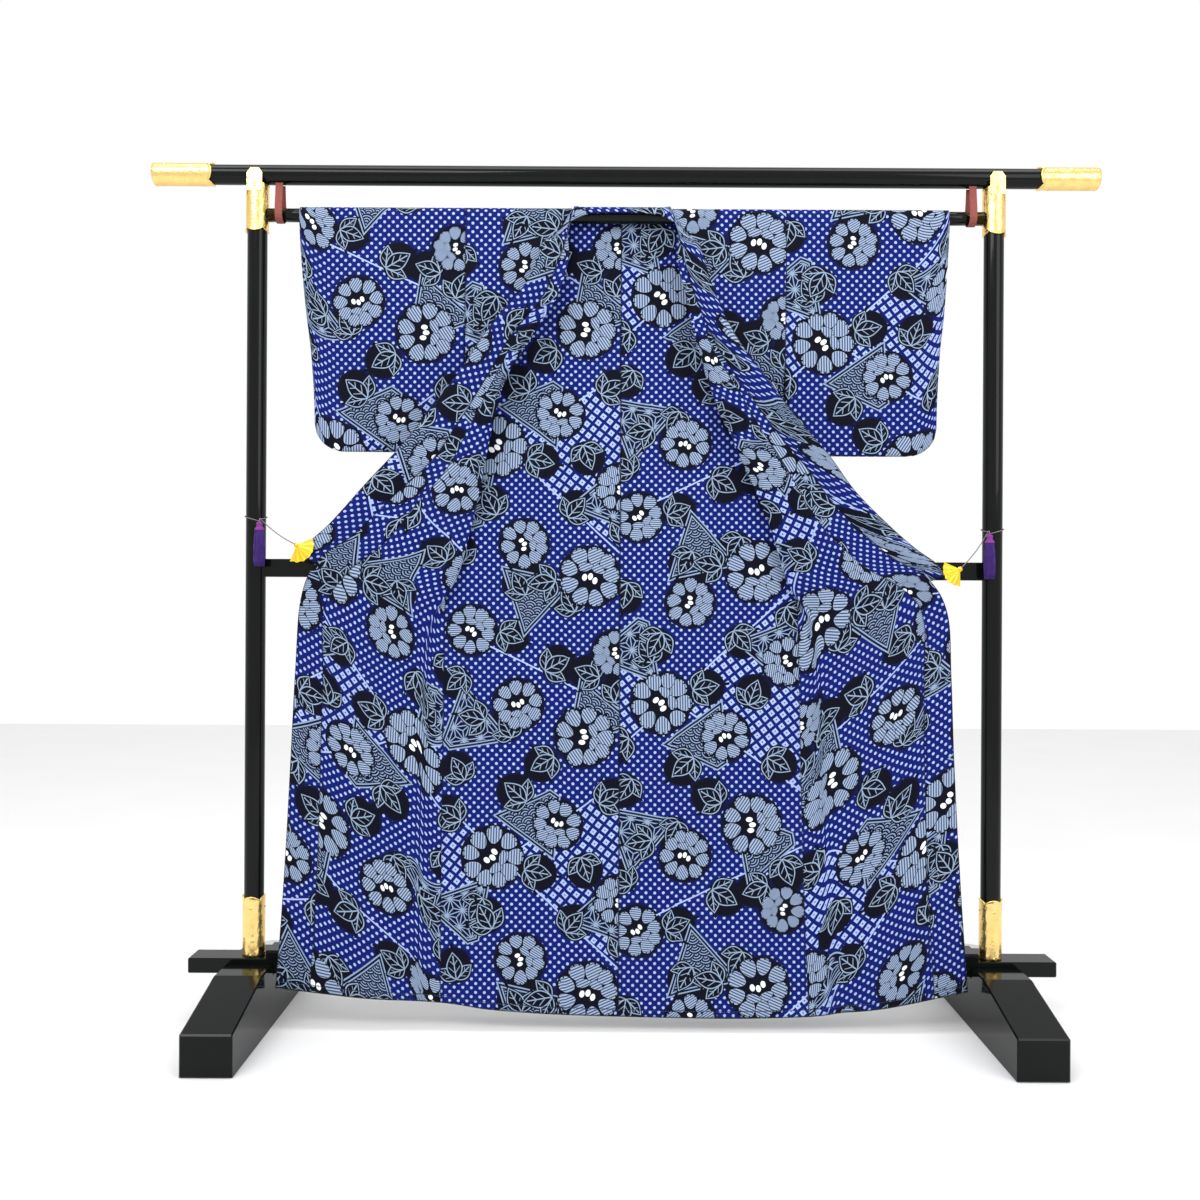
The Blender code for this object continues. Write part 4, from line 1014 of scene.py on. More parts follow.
def cloth_piece(name, points, places, faces, hem):
    """A thin shell from points in millimetres and their places on the flat cloth."""
    pts = np.array([tuple(p) for p in points]) * MM
    uv = np.array(places, float)
    data = bpy.data.meshes.new(name)
    data.from_pydata(pts.tolist(), [], faces)
    data.update()
    bm = bmesh.new()
    bm.from_mesh(data)
    bmesh.ops.recalc_face_normals(bm, faces=bm.faces)
    bm.to_mesh(data)
    bm.free()
    data.update()
    normals = np.zeros(len(data.vertices) * 3)
    data.vertex_normals.foreach_get("vector", normals)
    normals = normals.reshape(-1, 3)
    lift = crease_lift(name, uv[:, 0], uv[:, 1])
    calm = np.clip(np.asarray(hem, float)[:, 1] / 25.0, 0.0, 1.0)
    toward = -np.sign(normals[:, 1])
    toward[toward == 0] = 1.0
    pts += normals * (lift * calm * toward * MM)[:, None]
    data.vertices.foreach_set("co", pts.ravel())
    for face in data.polygons:
        face.use_smooth = True

    cut = CUTS[name]
    u = uv[:, 0] + cut["du"]
    if cut["flip"] < 0:
        u = LOOM_WIDTH - u
    v = uv[:, 1] * cut["flip"] + cut["dv"] + 4 * REPEAT
    bx, by, b_near, b_which, b_far = nearest_motif(BLOSSOMS, u, v, blossom_reach)
    size = np.array([row["r"] for row in BLOSSOMS])[b_which]
    sx, sy, s_near, s_which, s_far = nearest_motif(SPRAYS, u, v, spray_reach)
    long = np.array([row["long"] for row in SPRAYS])[s_which]
    mx, my, m_near, m_which, m_far = nearest_motif(MORE_SPRAYS, u, v, spray_reach)
    more_long = np.array([row["long"] for row in MORE_SPRAYS])[m_which]
    kx, ky, k_near, k_which, _ = nearest_motif(KITES, u, v, kite_reach)
    fill = np.array([row["fill"] for row in KITES])[k_which]
    dark = np.maximum(1.0 - (b_far - 0.86) * size / 24.0, 1.0 - (s_far - 0.85) * long / 20.0)
    dark = np.clip(np.maximum(dark, 1.0 - (m_far - 0.85) * more_long / 20.0), 0.0, 1.0)
    zero = np.zeros(u.shape)
    add_attribute(data, "cloth_mm", "FLOAT_VECTOR", np.stack([u, v, zero], 1))
    add_attribute(data, "blossom", "FLOAT_VECTOR", np.stack([bx / size, by / size, b_near], 1))
    add_attribute(data, "spray", "FLOAT_VECTOR", np.stack([sx / long, sy / long, s_near], 1))
    add_attribute(data, "more_spray", "FLOAT_VECTOR", np.stack([mx / more_long, my / more_long, m_near], 1))
    add_attribute(data, "kite", "FLOAT_VECTOR", np.stack([kx, ky, k_near], 1))
    add_attribute(data, "kite_fill", "FLOAT", fill.astype(float))
    add_attribute(data, "shade", "FLOAT", dark)
    add_attribute(data, "edge_mm", "FLOAT_VECTOR", np.column_stack([np.asarray(hem, float), zero]))
    obj = bpy.data.objects.new(name + "_cloth", data)
    bpy.context.scene.collection.objects.link(obj)
    skin = obj.modifiers.new("thickness", "SOLIDIFY")
    skin.thickness = CLOTH_THICK * MM
    skin.offset = 0.0
    skin.use_even_offset = False
    data.materials.append(cotton)
    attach(obj, "root")
    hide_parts(name)


def arc_along(line):
    run = [0.0]
    for a, b in zip(line, line[1:]):
        run.append(run[-1] + (b - a).length)
    return run


def grid_faces(rows, columns):
    faces = []
    for r in range(rows - 1):
        for c in range(columns - 1):
            near = r * columns + c
            faces.append((near, near + 1, near + columns + 1, near + columns))
    return faces


def grid_piece(name, grid, hem_last=True):
    """A piece from one grid of points: rows run across, columns along the cloth."""
    columns = len(grid[0])
    along = [[0.0] * columns]
    for r in range(1, len(grid)):
        along.append([along[-1][c] + (grid[r][c] - grid[r - 1][c]).length for c in range(columns)])
    points = []
    places = []
    edges = []
    for r, line in enumerate(grid):
        run = arc_along(line)
        for c, p in enumerate(line):
            points.append(p)
            places.append((run[c], along[r][c]))
            side = min(run[c], run[-1] - run[c])
            low = along[-1][c] - along[r][c] if hem_last else NO_HEM
            edges.append((side + 1.0, low + 1.0))
    cloth_piece(name, points, places, grid_faces(len(grid), columns), edges)


# how finely the cloth is divided
FRONT_LINES = 210
FINE = 180
UNDER_COLUMNS = 22
FRONT_COLUMNS = 48
BACK_LINES = 200
INNER_STEPS = 14
# below this many degrees round the bar the back spans the neck
OPEN_BELOW = 34.0
SLEEVE_STEPS = 40
SLEEVE_FALLS = 58


def round_over_bar(p):
    """Puts a point of the shoulder on the round of the bar."""
    if p.z < RAIL_Z:
        return p
    reach = math.hypot(p.y, p.z - RAIL_Z)
    grow = DRAPE_R / reach
    return Vector((p.x, p.y * grow, RAIL_Z + (p.z - RAIL_Z) * grow))


def back_lines(side):
    """Rows down the back: each is a function of the share from centre seam to side edge."""
    inner = CENTRE_X + side * 0.25
    rows = []
    for degrees in range(82, 0, -8):
        a = math.radians(degrees)
        outer = side_x(side, SHOULDER_Z)
        rows.append((degrees, [Vector((inner + u / 4 * (outer - inner), DRAPE_R * math.cos(a),
                                       RAIL_Z + DRAPE_R * math.sin(a))) for u in range(5)]))
    for r in range(1, BACK_LINES + 1):
        t = r / BACK_LINES
        line = []
        for c in range(41):
            u = c / 40
            foot = hem_at(CENTRE_X + u * (side_x(side, 50) - CENTRE_X))
            z = BACK_START + t * (foot - BACK_START)
            line.append(back_point(side, z, u))
        line[0].x = CENTRE_X
        rows.append((-1.0, line))
    return rows


collar_seam = {}


def body_and_overlap(side, word):
    fine = front_surface(side, FRONT_LINES, FINE)
    body_rows = []
    overlap_rows = []
    seam_line = []
    half = FINE // 2
    for line in fine:
        line = [round_over_bar(p) for p in line]
        sewn_share = smooth_step((SIDE_CLOSED - line[0].z) / 60)
        if sewn_share > 0:
            seam = Vector((side_x(side, line[0].z), back_y(line[0].z), line[0].z))
            shift = (seam - line[0]) * sewn_share
            line = [p + shift * max(0.0, 1 - i / 6) for i, p in enumerate(line)]
        total = resample(line, 1)[1]
        level = line[-1].z
        seam_line.append(line[-1])
        under = [line[round(half * c / UNDER_COLUMNS)] for c in range(UNDER_COLUMNS)]
        lapel = line[half:]
        lap_total = resample(lapel, 1)[1]
        if level < OVERLAP_TOP:
            wide = table_value(OVERLAP, "z", "wide", level)
            # its inner edge is tucked under the body's
            row = resample(line, 9, total - wide - 1.2, total)[0]
            row[0] = row[0] + Vector((0, 0.8, 0))
            overlap_rows.append(row)
        else:
            wide = 0.0
        over = resample(lapel, FRONT_COLUMNS - UNDER_COLUMNS, 0.0, lap_total - wide)[0]
        body_rows.append(under + over)
    collar_seam[side] = seam_line

    shoulder = body_rows[0]
    inner = CENTRE_X + side * 0.25
    outer = side_x(side, SHOULDER_Z)
    shares = [min(max((p.x - inner) / (outer - inner), 0.0), 1.0) for p in shoulder]
    points = []
    places = []
    edges = []
    index = {}
    across = (shoulder[0] - Vector((CENTRE_X, 0, shoulder[0].z))).length

    def put(key, p, place, edge):
        index[key] = len(points)
        points.append(p)
        places.append(place)
        edges.append(edge)

    along = [0.0] * (FRONT_COLUMNS + 1)
    lengths = [0.0] * (FRONT_COLUMNS + 1)
    for r in range(1, len(body_rows)):
        for c in range(FRONT_COLUMNS + 1):
            lengths[c] += (body_rows[r][c] - body_rows[r - 1][c]).length
    for r, line in enumerate(body_rows):
        run = arc_along(line)
        for c, p in enumerate(line):
            if r:
                along[c] += (p - body_rows[r - 1][c]).length
            seam_far = min(run[c], run[-1] - run[c]) if p.z < SIDE_CLOSED else run[-1] - run[c]
            edge = (seam_far + SEAM_EASE, lengths[c] - along[c] + 1.0)
            put(("f", r, c), p, (across - run[c], along[c]), edge)
    rows = back_lines(side)
    columns = FRONT_COLUMNS + INNER_STEPS
    grid = []
    for degrees, line in rows:
        out = [spline(line, u) for u in shares]
        near = shares[-1]
        out += [spline(line, near * (1 - s / INNER_STEPS)) for s in range(1, INNER_STEPS + 1)]
        grid.append((degrees <= OPEN_BELOW, out))
    drops = [[0.0] * (columns + 1)]
    for c in range(columns + 1):
        top = shoulder[c] if c <= FRONT_COLUMNS else grid[0][1][c]
        drops[0][c] = (grid[0][1][c] - top).length
    for r in range(1, len(grid)):
        steps = [(grid[r][1][c] - grid[r - 1][1][c]).length for c in range(columns + 1)]
        drops.append([drop + step for drop, step in zip(drops[-1], steps)])
    for r, (open_here, line) in enumerate(grid):
        run = arc_along(line)
        for c, p in enumerate(line):
            if c > FRONT_COLUMNS and not open_here:
                continue
            low = drops[-1][c] - drops[r][c] + 1.0
            edge = (run[-1] - run[c] + SEAM_EASE, low)
            put(("b", r, c), p, (run[-1] - run[c], -drops[r][c]), edge)
    faces = []
    for r in range(len(body_rows) - 1):
        for c in range(FRONT_COLUMNS):
            faces.append((index["f", r, c], index["f", r, c + 1],
                          index["f", r + 1, c + 1], index["f", r + 1, c]))
    for c in range(FRONT_COLUMNS):
        faces.append((index["f", 0, c + 1], index["f", 0, c],
                      index["b", 0, c], index["b", 0, c + 1]))
    for r in range(len(grid) - 1):
        for c in range(columns if grid[r][0] else FRONT_COLUMNS):
            faces.append((index["b", r, c + 1], index["b", r, c],
                          index["b", r + 1, c], index["b", r + 1, c + 1]))
    cloth_piece("body_" + word, points, places, faces, edges)
    grid_piece("overlap_" + word, overlap_rows)


def sleeve_grid(side):
    """Rows from the armhole outward; each row is a loop over the bar and round the bottom."""
    spec = SLEEVES[side]
    grid = []
    for s in range(SLEEVE_STEPS + 1):
        t = 1 - (1 - s / SLEEVE_STEPS) ** 1.2
        reach_top = SLEEVE_IN + t * (spec["top"] - SLEEVE_IN)
        reach_low = SLEEVE_IN + t * (spec["low"] - SLEEVE_IN)
        corner = spec["corner"]
        over = max(0.0, (reach_low - (spec["low"] - corner)) / corner)
        rise = corner * (1 - math.sqrt(max(0.0, 1 - min(over, 1.0) ** 2)))
        floor = spec["bottom"] + rise * 0.92
        loop = []

        def where(y, z):
            f = (TOP_OF_CLOTH - z) / (TOP_OF_CLOTH - spec["bottom"])
            x = side * (reach_top + (reach_low - reach_top) * smooth_step(f * 1.1))
            wave = 2.0 * math.sin(x * 0.021 + 1.0) * smooth_step((1560 - z) / 200)
            return Vector((x, y - wave, z))

        def half_gap(z):
            f = smooth_step((RAIL_Z - z) / (RAIL_Z - spec["bottom"]))
            g = DRAPE_R + (5.5 - DRAPE_R) * f
            shut = smooth_step((reach_low - spec["low"] + 60) / 60) * smooth_step((1430 - z) / 90)
            return g + (2.2 - g) * shut

        for degrees in range(0, 181, 10):
            a = math.radians(degrees)
            loop.append(where(-DRAPE_R * math.cos(a), RAIL_Z + DRAPE_R * math.sin(a)))
        levels = [RAIL_Z + (floor + 4 - RAIL_Z) * i / SLEEVE_FALLS for i in range(1, SLEEVE_FALLS + 1)]
        loop += [where(half_gap(z), z) for z in levels]
        g = half_gap(floor + 4)
        bottom = where(0.0, floor)
        loop += [where(g * 0.7, floor + 1.2), bottom, where(-g * 0.7, floor + 1.2)]
        loop += [where(-half_gap(z), z) for z in reversed(levels)]
        # the lengths start and end at the seam along the bottom
        low = loop.index(bottom)
        grid.append(loop[low:] + loop[:low + 1])
    return grid


def sleeve(side, word):
    grid = sleeve_grid(side)
    columns = len(grid[0])
    points = []
    places = []
    edges = []
    across = [0.0] * columns
    for r, loop in enumerate(grid):
        run = arc_along(loop)
        for c, p in enumerate(loop):
            if r:
                across[c] += (p - grid[r - 1][c]).length
            points.append(p)
            places.append((across[c], run[c]))
            edges.append((across[c] + SEAM_EASE, NO_HEM))
    cloth_piece("sleeve_" + word, points, places, grid_faces(len(grid), columns), edges)


def collar_stations(side):
    """Stations from the neck down to the band's end: seam point and free edge point."""
    stations = []
    for p in collar_seam[side]:
        if p.z > NECK_TURN:
            continue
        if p.z < COLLAR_END[side]:
            break
        rows = COLLAR_EDGE[side]
        out = Vector([table_value(rows, "z", key, p.z) for key in ("dx", "dy", "dz")])
        lift = Vector((0, -3.8 * smooth_step((p.z - 1510) / 40), 0))
        stations.append((p - out.normalized() * 0.4 + lift, p + out + lift))
    return stations


BAND = 12
HUG = DRAPE_R + WALL / 2 + COLLAR_WALL / 2 + 1.3


def turn_line(side, k):
    row = {name: table_value(TURN, "k", name, k) for name in ("x", "start", "end", "slant")}
    reach = abs(NECK[side] - CENTRE_X) - 2.0
    x = CENTRE_X + side * reach * row["x"]
    line = []
    for i in range(BAND + 1):
        t = i / BAND
        degrees = row["start"] + (row["end"] - row["start"]) * t
        a = math.radians(max(degrees, 0.0))
        drop = max(0.0, -degrees)
        px = x + side * row["slant"] * t * t
        hug = HUG + 1.6 * smooth_step((k - 3) / 2)
        py = -hug * math.cos(a) - 0.2 * drop
        line.append(Vector((px, py, RAIL_Z + hug * math.sin(a) - drop)))
    return line


def collar():
    keys = []
    for side in (-1, 1):
        part = []
        for seam, free in collar_stations(side)[::3]:
            part.append([between(seam, free, i / BAND) + Vector((0, -4.0 * math.sin(math.pi * i / BAND), 0))
                         for i in range(BAND + 1)])
        keys.append(part)
    steps = range(1, len(TURN))
    lines = list(reversed(keys[0])) + [turn_line(-1, k) for k in reversed(steps)]
    lines += [turn_line(1, 0)] + [turn_line(1, k) for k in steps] + keys[1]
    total = (len(lines) - 1) * 3
    out = [[spline([line[b] for line in lines], i / total) for b in range(BAND + 1)]
           for i in range(total + 1)]
    grid_piece("collar", out, hem_last=False)


def finish_piece(name, bm, material, replaces, smooth=True):
    """Turns a built mesh into a piece of the stand, in place of the solids it replaces."""
    data = bpy.data.meshes.new(name)
    bmesh.ops.recalc_face_normals(bm, faces=bm.faces)
    bm.to_mesh(data)
    bm.free()
    for face in data.polygons:
        face.use_smooth = smooth
    data.materials.append(material)
    obj = bpy.data.objects.new(name, data)
    bpy.context.scene.collection.objects.link(obj)
    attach(obj, "root")
    if replaces:
        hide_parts(*replaces)


def add_grid(bm, grid, wrap=False, caps=False):
    """Adds rows of points in millimetres as faces."""
    rows = [[bm.verts.new(Vector(p) * MM) for p in line] for line in grid]
    count = len(rows[0])
    for a, b in zip(rows, rows[1:]):
        for i in range(count if wrap else count - 1):
            j = (i + 1) % count
            bm.faces.new((a[i], a[j], b[j], b[i]))
    if caps:
        bm.faces.new(list(reversed(rows[0])))
        bm.faces.new(rows[-1])


def lathe_grid(profile, axis, centre, around=72):
    """Rings of a turned shape: profile rows are (place along the axis, radius)."""
    grid = []
    for place, radius in profile:
        ring = []
        for i in range(around):
            a = 2 * math.pi * i / around
            c = radius * math.cos(a)
            s = radius * math.sin(a)
            if axis == "X":
                ring.append((place, centre[1] + c, centre[2] + s))
            elif axis == "Y":
                ring.append((centre[0] + c, place, centre[2] + s))
            else:
                ring.append((centre[0] + c, centre[1] + s, place))
        grid.append(ring)
    return grid


def turned_bar(name, axis, centre, start, end, radius, ease, replaces):
    profile = []
    for k in range(7):
        a = math.radians(90 * k / 6)
        profile.append((start + ease * (1 - math.sin(a)), radius - ease * (1 - math.cos(math.pi / 2 - a))))
    for k in range(1, 24):
        profile.append((start + ease + (end - start - 2 * ease) * k / 24, radius))
    for k in range(6, -1, -1):
        a = math.radians(90 * k / 6)
        profile.append((end - ease * (1 - math.sin(a)), radius - ease * (1 - math.cos(math.pi / 2 - a))))
    bm = bmesh.new()
    add_grid(bm, lathe_grid(profile, axis, centre), wrap=True, caps=True)
    finish_piece(name, bm, lacquer, replaces)


# metal sleeves and caps: their ends, and the scallops of their rims
CAP_END = 949.0
CAP_START = 828.0
FOOT_SLEEVE_TOP = 254.0
HEAD_SLEEVE_TOP = 1682.9
HEAD_SLEEVE_LOW = 1585.0
RIM_WAVE = 8.0
RIM_LOBES = 4


def fitting(name, axis, centre, inner, wall, start, end, closed, replaces):
    """Hammered sleeve from start to end: scalloped far rim, raised bead and small pins."""
    bm = bmesh.new()
    outer = inner + wall
    toward = 1.0 if end > start else -1.0
    around = 96
    steps = 36

    def rim(a):
        swing = abs(math.cos(RIM_LOBES * a / 2)) ** 0.7
        return end - toward * RIM_WAVE * (1.0 - swing)

    def spot(place, radius, a):
        c = radius * math.cos(a)
        s = radius * math.sin(a)
        if axis == "X":
            return (place, centre[1] + c, centre[2] + s)
        return (centre[0] + c, centre[1] + s, place)

    def ring(share, radius, dented):
        out = []
        for i in range(around):
            a = 2 * math.pi * i / around
            place = start + (rim(a) - start) * share
            dent = 0.0
            if dented:
                dent = 0.16 * math.sin(a * 11 + place * 0.31) * math.sin(a * 7 - place * 0.53)
            out.append(spot(place, radius + dent, a))
        return out

    grid = [ring(0.0, inner, False), ring(0.0, outer - 0.5, False), ring(0.006, outer, False)]
    for k in range(1, steps):
        grid.append(ring(0.006 + 0.955 * k / steps, outer, True))
    for share, lift in ((0.972, 0.1), (0.980, 0.9), (0.990, 1.1), (0.998, 0.7), (1.0, 0.1)):
        grid.append(ring(share, outer + lift, False))
    grid.append(ring(1.0, inner, False))
    add_grid(bm, grid, wrap=True)
    if closed:
        lid = [[spot(start + toward * (wall if low else 0.0), inner * share, 2 * math.pi * i / around)
                for i in range(around)] for low, share in ((True, 1.0), (True, 0.02))]
        add_grid(bm, lid, wrap=True)
        dome = []
        for share, rise in ((1.0, 0.0), (0.96, 0.7), (0.82, 1.3), (0.5, 1.6), (0.2, 1.7), (0.02, 1.7)):
            dome.append([spot(start - toward * (rise - 1.7), (outer - 0.5) * share, 2 * math.pi * i / around)
                         for i in range(around)])
        add_grid(bm, dome, wrap=True)
    for count, back in ((4, 16.0), (4, abs(end - start) - 12.0)):
        for k in range(count):
            a = 2 * math.pi * (k + 0.5) / count + math.pi / 4
            pin(bm, Vector(spot(end - toward * (back + RIM_WAVE), outer, a)),
                Vector(spot(0, 1, a)) - Vector(spot(0, 0, a)), 2.1)
    finish_piece(name, bm, gold, replaces)


# nail head: radius and height in shares of its size
PIN_PROFILE = ((1.25, -0.3), (1.25, 0.15), (1.0, 0.25), (0.92, 0.75), (0.66, 1.1), (0.32, 1.3), (0.02, 1.35))


def pin(bm, at, out, size):
    """Round nail head: a low dome with a narrow foot ring."""
    out = out.normalized()
    helper = Vector((0, 0, 1)) if abs(out.z) < 0.9 else Vector((1, 0, 0))
    right = out.cross(helper).normalized()
    up = right.cross(out)
    grid = []
    for radius, rise in PIN_PROFILE:
        ring = []
        for i in range(16):
            a = 2 * math.pi * i / 16
            flat = right * math.cos(a) + up * math.sin(a)
            ring.append(at + flat * radius * size + out * rise * size * 0.5)
        grid.append(ring)
    add_grid(bm, grid, wrap=True)


def rounded_plate(bm, outline, thick, y, ease):
    """Plate in the XZ plane with a softened edge."""
    cx = sum(p[0] for p in outline) / len(outline)
    cz = sum(p[1] for p in outline) / len(outline)
    half = max(abs(p[0] - cx) for p in outline)
    grid = []
    flat = 0.5 - ease / thick
    for depth, inset in ((-0.5, ease), (-flat, 0.0), (flat, 0.0), (0.5, ease)):
        near = 1 - inset / half
        grid.append([(cx + (px - cx) * near, y + depth * thick, cz + (pz - cz) * near)
                     for px, pz in outline])
    add_grid(bm, grid, wrap=True, caps=True)


turned_bar("hanging_bar_round", "X", (0, 0, RAIL_Z), -RAIL_HALF, RAIL_HALF, RAIL_R, 3.0,
           ["hanging_bar"])
turned_bar("top_bar_round", "X", (0, 0, TOP_Z), -TOP_HALF, TOP_HALF, TOP_R, 1.5, ["top_bar"])
TONGUE = [
    (-15.5, 1664.0), (15.5, 1664.0), (15.5, 1700.0), (8.0, 1710.0), (-8.0, 1710.0), (-15.5, 1700.0),
]
for side, word in ((-1, "left"), (1, "right")):
    x = side * POST_X
    turned_bar("post_" + word + "_round", "Z", (x, 0, 0), BOARD_HIGH + GAP, POST_TOP, POST_R, 1.5,
               ["post_" + word])
    fitting("end_cap_" + word + "_hammered", "X", (0, 0, TOP_Z), TOP_R + GAP + 0.2, 2.2,
            side * CAP_END, side * CAP_START, True, ["end_cap_" + word])
    fitting("post_foot_" + word + "_hammered", "Z", (x, 0, 0), POST_R + GAP + 0.2, 2.0,
            BOARD_HIGH + GAP, FOOT_SLEEVE_TOP, False, ["post_foot_" + word])
    fitting("post_head_" + word + "_hammered", "Z", (x, 0, 0), POST_R + GAP + 0.2, 2.4,
            HEAD_SLEEVE_TOP, HEAD_SLEEVE_LOW, False, ["post_head_" + word])
    bm = bmesh.new()
    for near in (-1, 1):
        y = near * (TOP_R + GAP + 1.2)
        rounded_plate(bm, [(x + px, pz) for px, pz in TONGUE], 2.4, y, 0.5)
        for px, pz in ((0.0, 1674.0), (0.0, 1702.0)):
            pin(bm, Vector((x + px, y + near * 1.2, pz)), Vector((0, near, 0)), 2.0)
    finish_piece("post_tongues_" + word, bm, gold, [], smooth=False)

for word in ("mid_rail", "base_board", "foot_left", "foot_right"):
    node = bpy.data.objects[word]
    for slot_row in node.material_slots:
        slot_row.material = lacquer

# straps: woven band folded up round the hanging bar
STRAP_X = 696.0
STRAP_RISE = ((9.0, 1684.2), (10.6, 1670.0), (12.2, 1655.0), (14.6, 1640.0))
STRAP_SECTION = (
    (-7.5, -0.7), (-7.2, 0.75), (-6.6, 0.95), (-6.0, 0.6), (-3.0, 0.8), (0.0, 0.85), (3.0, 0.8),
    (6.0, 0.6), (6.6, 0.95), (7.2, 0.75), (7.5, -0.7), (4.0, -0.8), (0.0, -0.8), (-4.0, -0.8),
)
STRAP_STEPS = 120


def strap(side, word):
    ring_r = RAIL_R + 1.9
    keys = [Vector((0, -y, z)) for y, z in STRAP_RISE]
    for degrees in range(0, 181, 12):
        a = math.radians(degrees)
        keys.append(Vector((0, -ring_r * math.cos(a), RAIL_Z - ring_r * math.sin(a))))
    keys += [Vector((0, y, z)) for y, z in reversed(STRAP_RISE)]
    loop = [spline(keys, i / STRAP_STEPS) for i in range(STRAP_STEPS + 1)]
    grid = []
    for i, p in enumerate(loop):
        ahead = loop[min(i + 1, STRAP_STEPS)] - loop[max(i - 1, 0)]
        out = Vector((0, ahead.z, -ahead.y)).normalized()
        rib = 0.10 * math.sin(i * 2.1)
        line = []
        for px, rise in STRAP_SECTION:
            high = rise + rib if rise > 0 else rise
            line.append(Vector((side * STRAP_X + px, p.y, p.z)) + out * high)
        grid.append(line)
    bm = bmesh.new()
    add_grid(bm, grid, wrap=True, caps=True)
    finish_piece("strap_" + word + "_woven", bm, strap_red, ["strap_" + word])


# fan clips: ribs in one leaf, steps along a rib, and the pivot's knob by depth and radius
FAN_RIBS = 12
FAN_STEPS = 12
FAN_ACROSS = FAN_RIBS * 6
FAN_ROOT = 2.0
FAN_KNOB = (
    (1.4, 4.6), (-1.3, 4.9), (-2.0, 4.4), (-2.3, 3.2), (-3.6, 3.0), (-4.6, 2.2), (-5.0, 1.1), (-5.1, 0.05),
)


def fan_clip(word, spec):
    """Pleated leaf in two skins with a scalloped rim, and a knob at its pivot."""
    bm = bmesh.new()
    rims = []
    for skin, depth_shift in (("front", -1.1), ("back", 1.1)):
        leaf = []
        for j in range(FAN_STEPS + 1):
            r = FAN_ROOT + (FAN - FAN_ROOT) * j / FAN_STEPS
            at_rim = j == FAN_STEPS
            line = []
            for i in range(FAN_ACROSS + 1):
                a = math.radians(spec["first"] + (spec["last"] - spec["first"]) * i / FAN_ACROSS)
                phase = math.cos(2 * math.pi * i / FAN_RIBS)
                lip = r - (2.0 * (0.5 - 0.5 * phase) if at_rim else 0.0)
                depth = CLIP_Y + depth_shift - 1.2 * phase * j / FAN_STEPS
                if at_rim and skin == "front":
                    depth += 0.5
                line.append(Vector((spec["px"] + lip * math.cos(a), depth, spec["pz"] + lip * math.sin(a))))
            leaf.append(line)
        add_grid(bm, leaf)
        rims.append([line[0] for line in leaf] + leaf[-1][1:] + [line[-1] for line in reversed(leaf[:-1])])
    add_grid(bm, rims)
    knob = [(CLIP_Y + depth, radius) for depth, radius in FAN_KNOB]
    add_grid(bm, lathe_grid(knob, "Y", (spec["px"], 0, spec["pz"]), 28), wrap=True)
    finish_piece("clip_" + word + "_fan", bm, bright_gold, ["clip_" + word])


# tassels: height below the knot and radius of the ringed head, then the hanging strands
TASSEL_CROWN = (
    (2.3, 0.3), (2.0, 2.6), (0.6, 5.2), (-1.4, 6.5), (-3.2, 6.2), (-4.4, 5.4), (-5.4, 5.9),
    (-6.4, 5.4), (-7.4, 6.4), (-8.6, 6.0), (-9.6, 7.4), (-11.0, 8.4), (-13.0, 9.2), (-15.0, 9.0),
)
TASSEL_STRANDS = 150
TASSEL_LONG = 84.0
STRAND_TOP = 11.5
GOLDEN_ANGLE = 2.399963


def tassel(word, tx, ty, head):
    """Ringed head and separate hanging strands."""
    bm = bmesh.new()
    crown = [(head + rise, radius) for rise, radius in TASSEL_CROWN]
    add_grid(bm, lathe_grid(crown, "Z", (tx, ty, 0), 40), wrap=True)
    finish_piece("tassel_" + word + "_head", bm, tassel_head, [])
    bm = bmesh.new()
    for k in range(TASSEL_STRANDS):
        share = math.sqrt((k + 0.5) / TASSEL_STRANDS)
        sx = math.cos(k * GOLDEN_ANGLE) * share
        sy = math.sin(k * GOLDEN_ANGLE) * share
        low = head - TASSEL_LONG + 2.2 * math.sin(k * 1.7) + 1.2 * math.sin(k * 0.61)
        tube = []
        for i in range(9):
            f = i / 8
            wide = 8.2 + 2.4 * smooth_step(f * 2.2) - 0.8 * smooth_step((f - 0.6) * 2)
            px = tx + sx * wide + 0.5 * math.sin(k * 2.3 + f * 5.0) * f
            py = ty + sy * wide + 0.4 * math.cos(k * 1.9 + f * 4.0) * f
            pz = head - STRAND_TOP + (low - head + STRAND_TOP) * f
            thick = 0.78 if i < 8 else 0.6
            turns = [b * math.pi / 2.5 + i * 0.5 for b in range(5)]
            tube.append([(px + thick * math.cos(b), py + thick * math.sin(b), pz) for b in turns])
        add_grid(bm, tube, wrap=True, caps=True)
    finish_piece("tassel_" + word + "_strands", bm, tassel_dark, ["tassel_" + word])


CORD_THICK = 2.0
CORD_STEPS = 160


def cord_path(side, spec, tx, ty, head):
    """Route of a cord: up from its tassel, once round the post, then across to the clip."""
    x0 = side * POST_X
    inward = -side
    ring_r = POST_R + 1.9
    path = [Vector((tx, ty, head + 2.35)), Vector((tx, ty + 0.5, head + 7.0)),
            Vector((tx - inward * 1.0, ty + 8.0, head + 9.0))]
    for degrees in range(-48, -409, -12):
        a = math.radians(degrees)
        f = (degrees + 48) / -372.0
        path.append(Vector((x0 + inward * ring_r * math.cos(a), ring_r * math.sin(a),
                            spec["knot_z"] + 12.0 * math.sin(math.pi * f) + 4.0 * f)))
    last = path[-1]
    middle = math.radians((spec["first"] + spec["last"]) / 2)
    goal = Vector((spec["px"] + 0.6 * math.cos(middle), CLIP_Y, spec["pz"] + 0.6 * math.sin(middle)))
    for f in (0.08, 0.2, 0.35, 0.5, 0.65, 0.8, 0.92, 1.0):
        hang = math.sin(math.pi * f)
        path.append(between(last, goal, f) + Vector((0, -6.0 * hang, -4.0 * hang)))
    return [spline(path, i / CORD_STEPS) for i in range(CORD_STEPS + 1)]


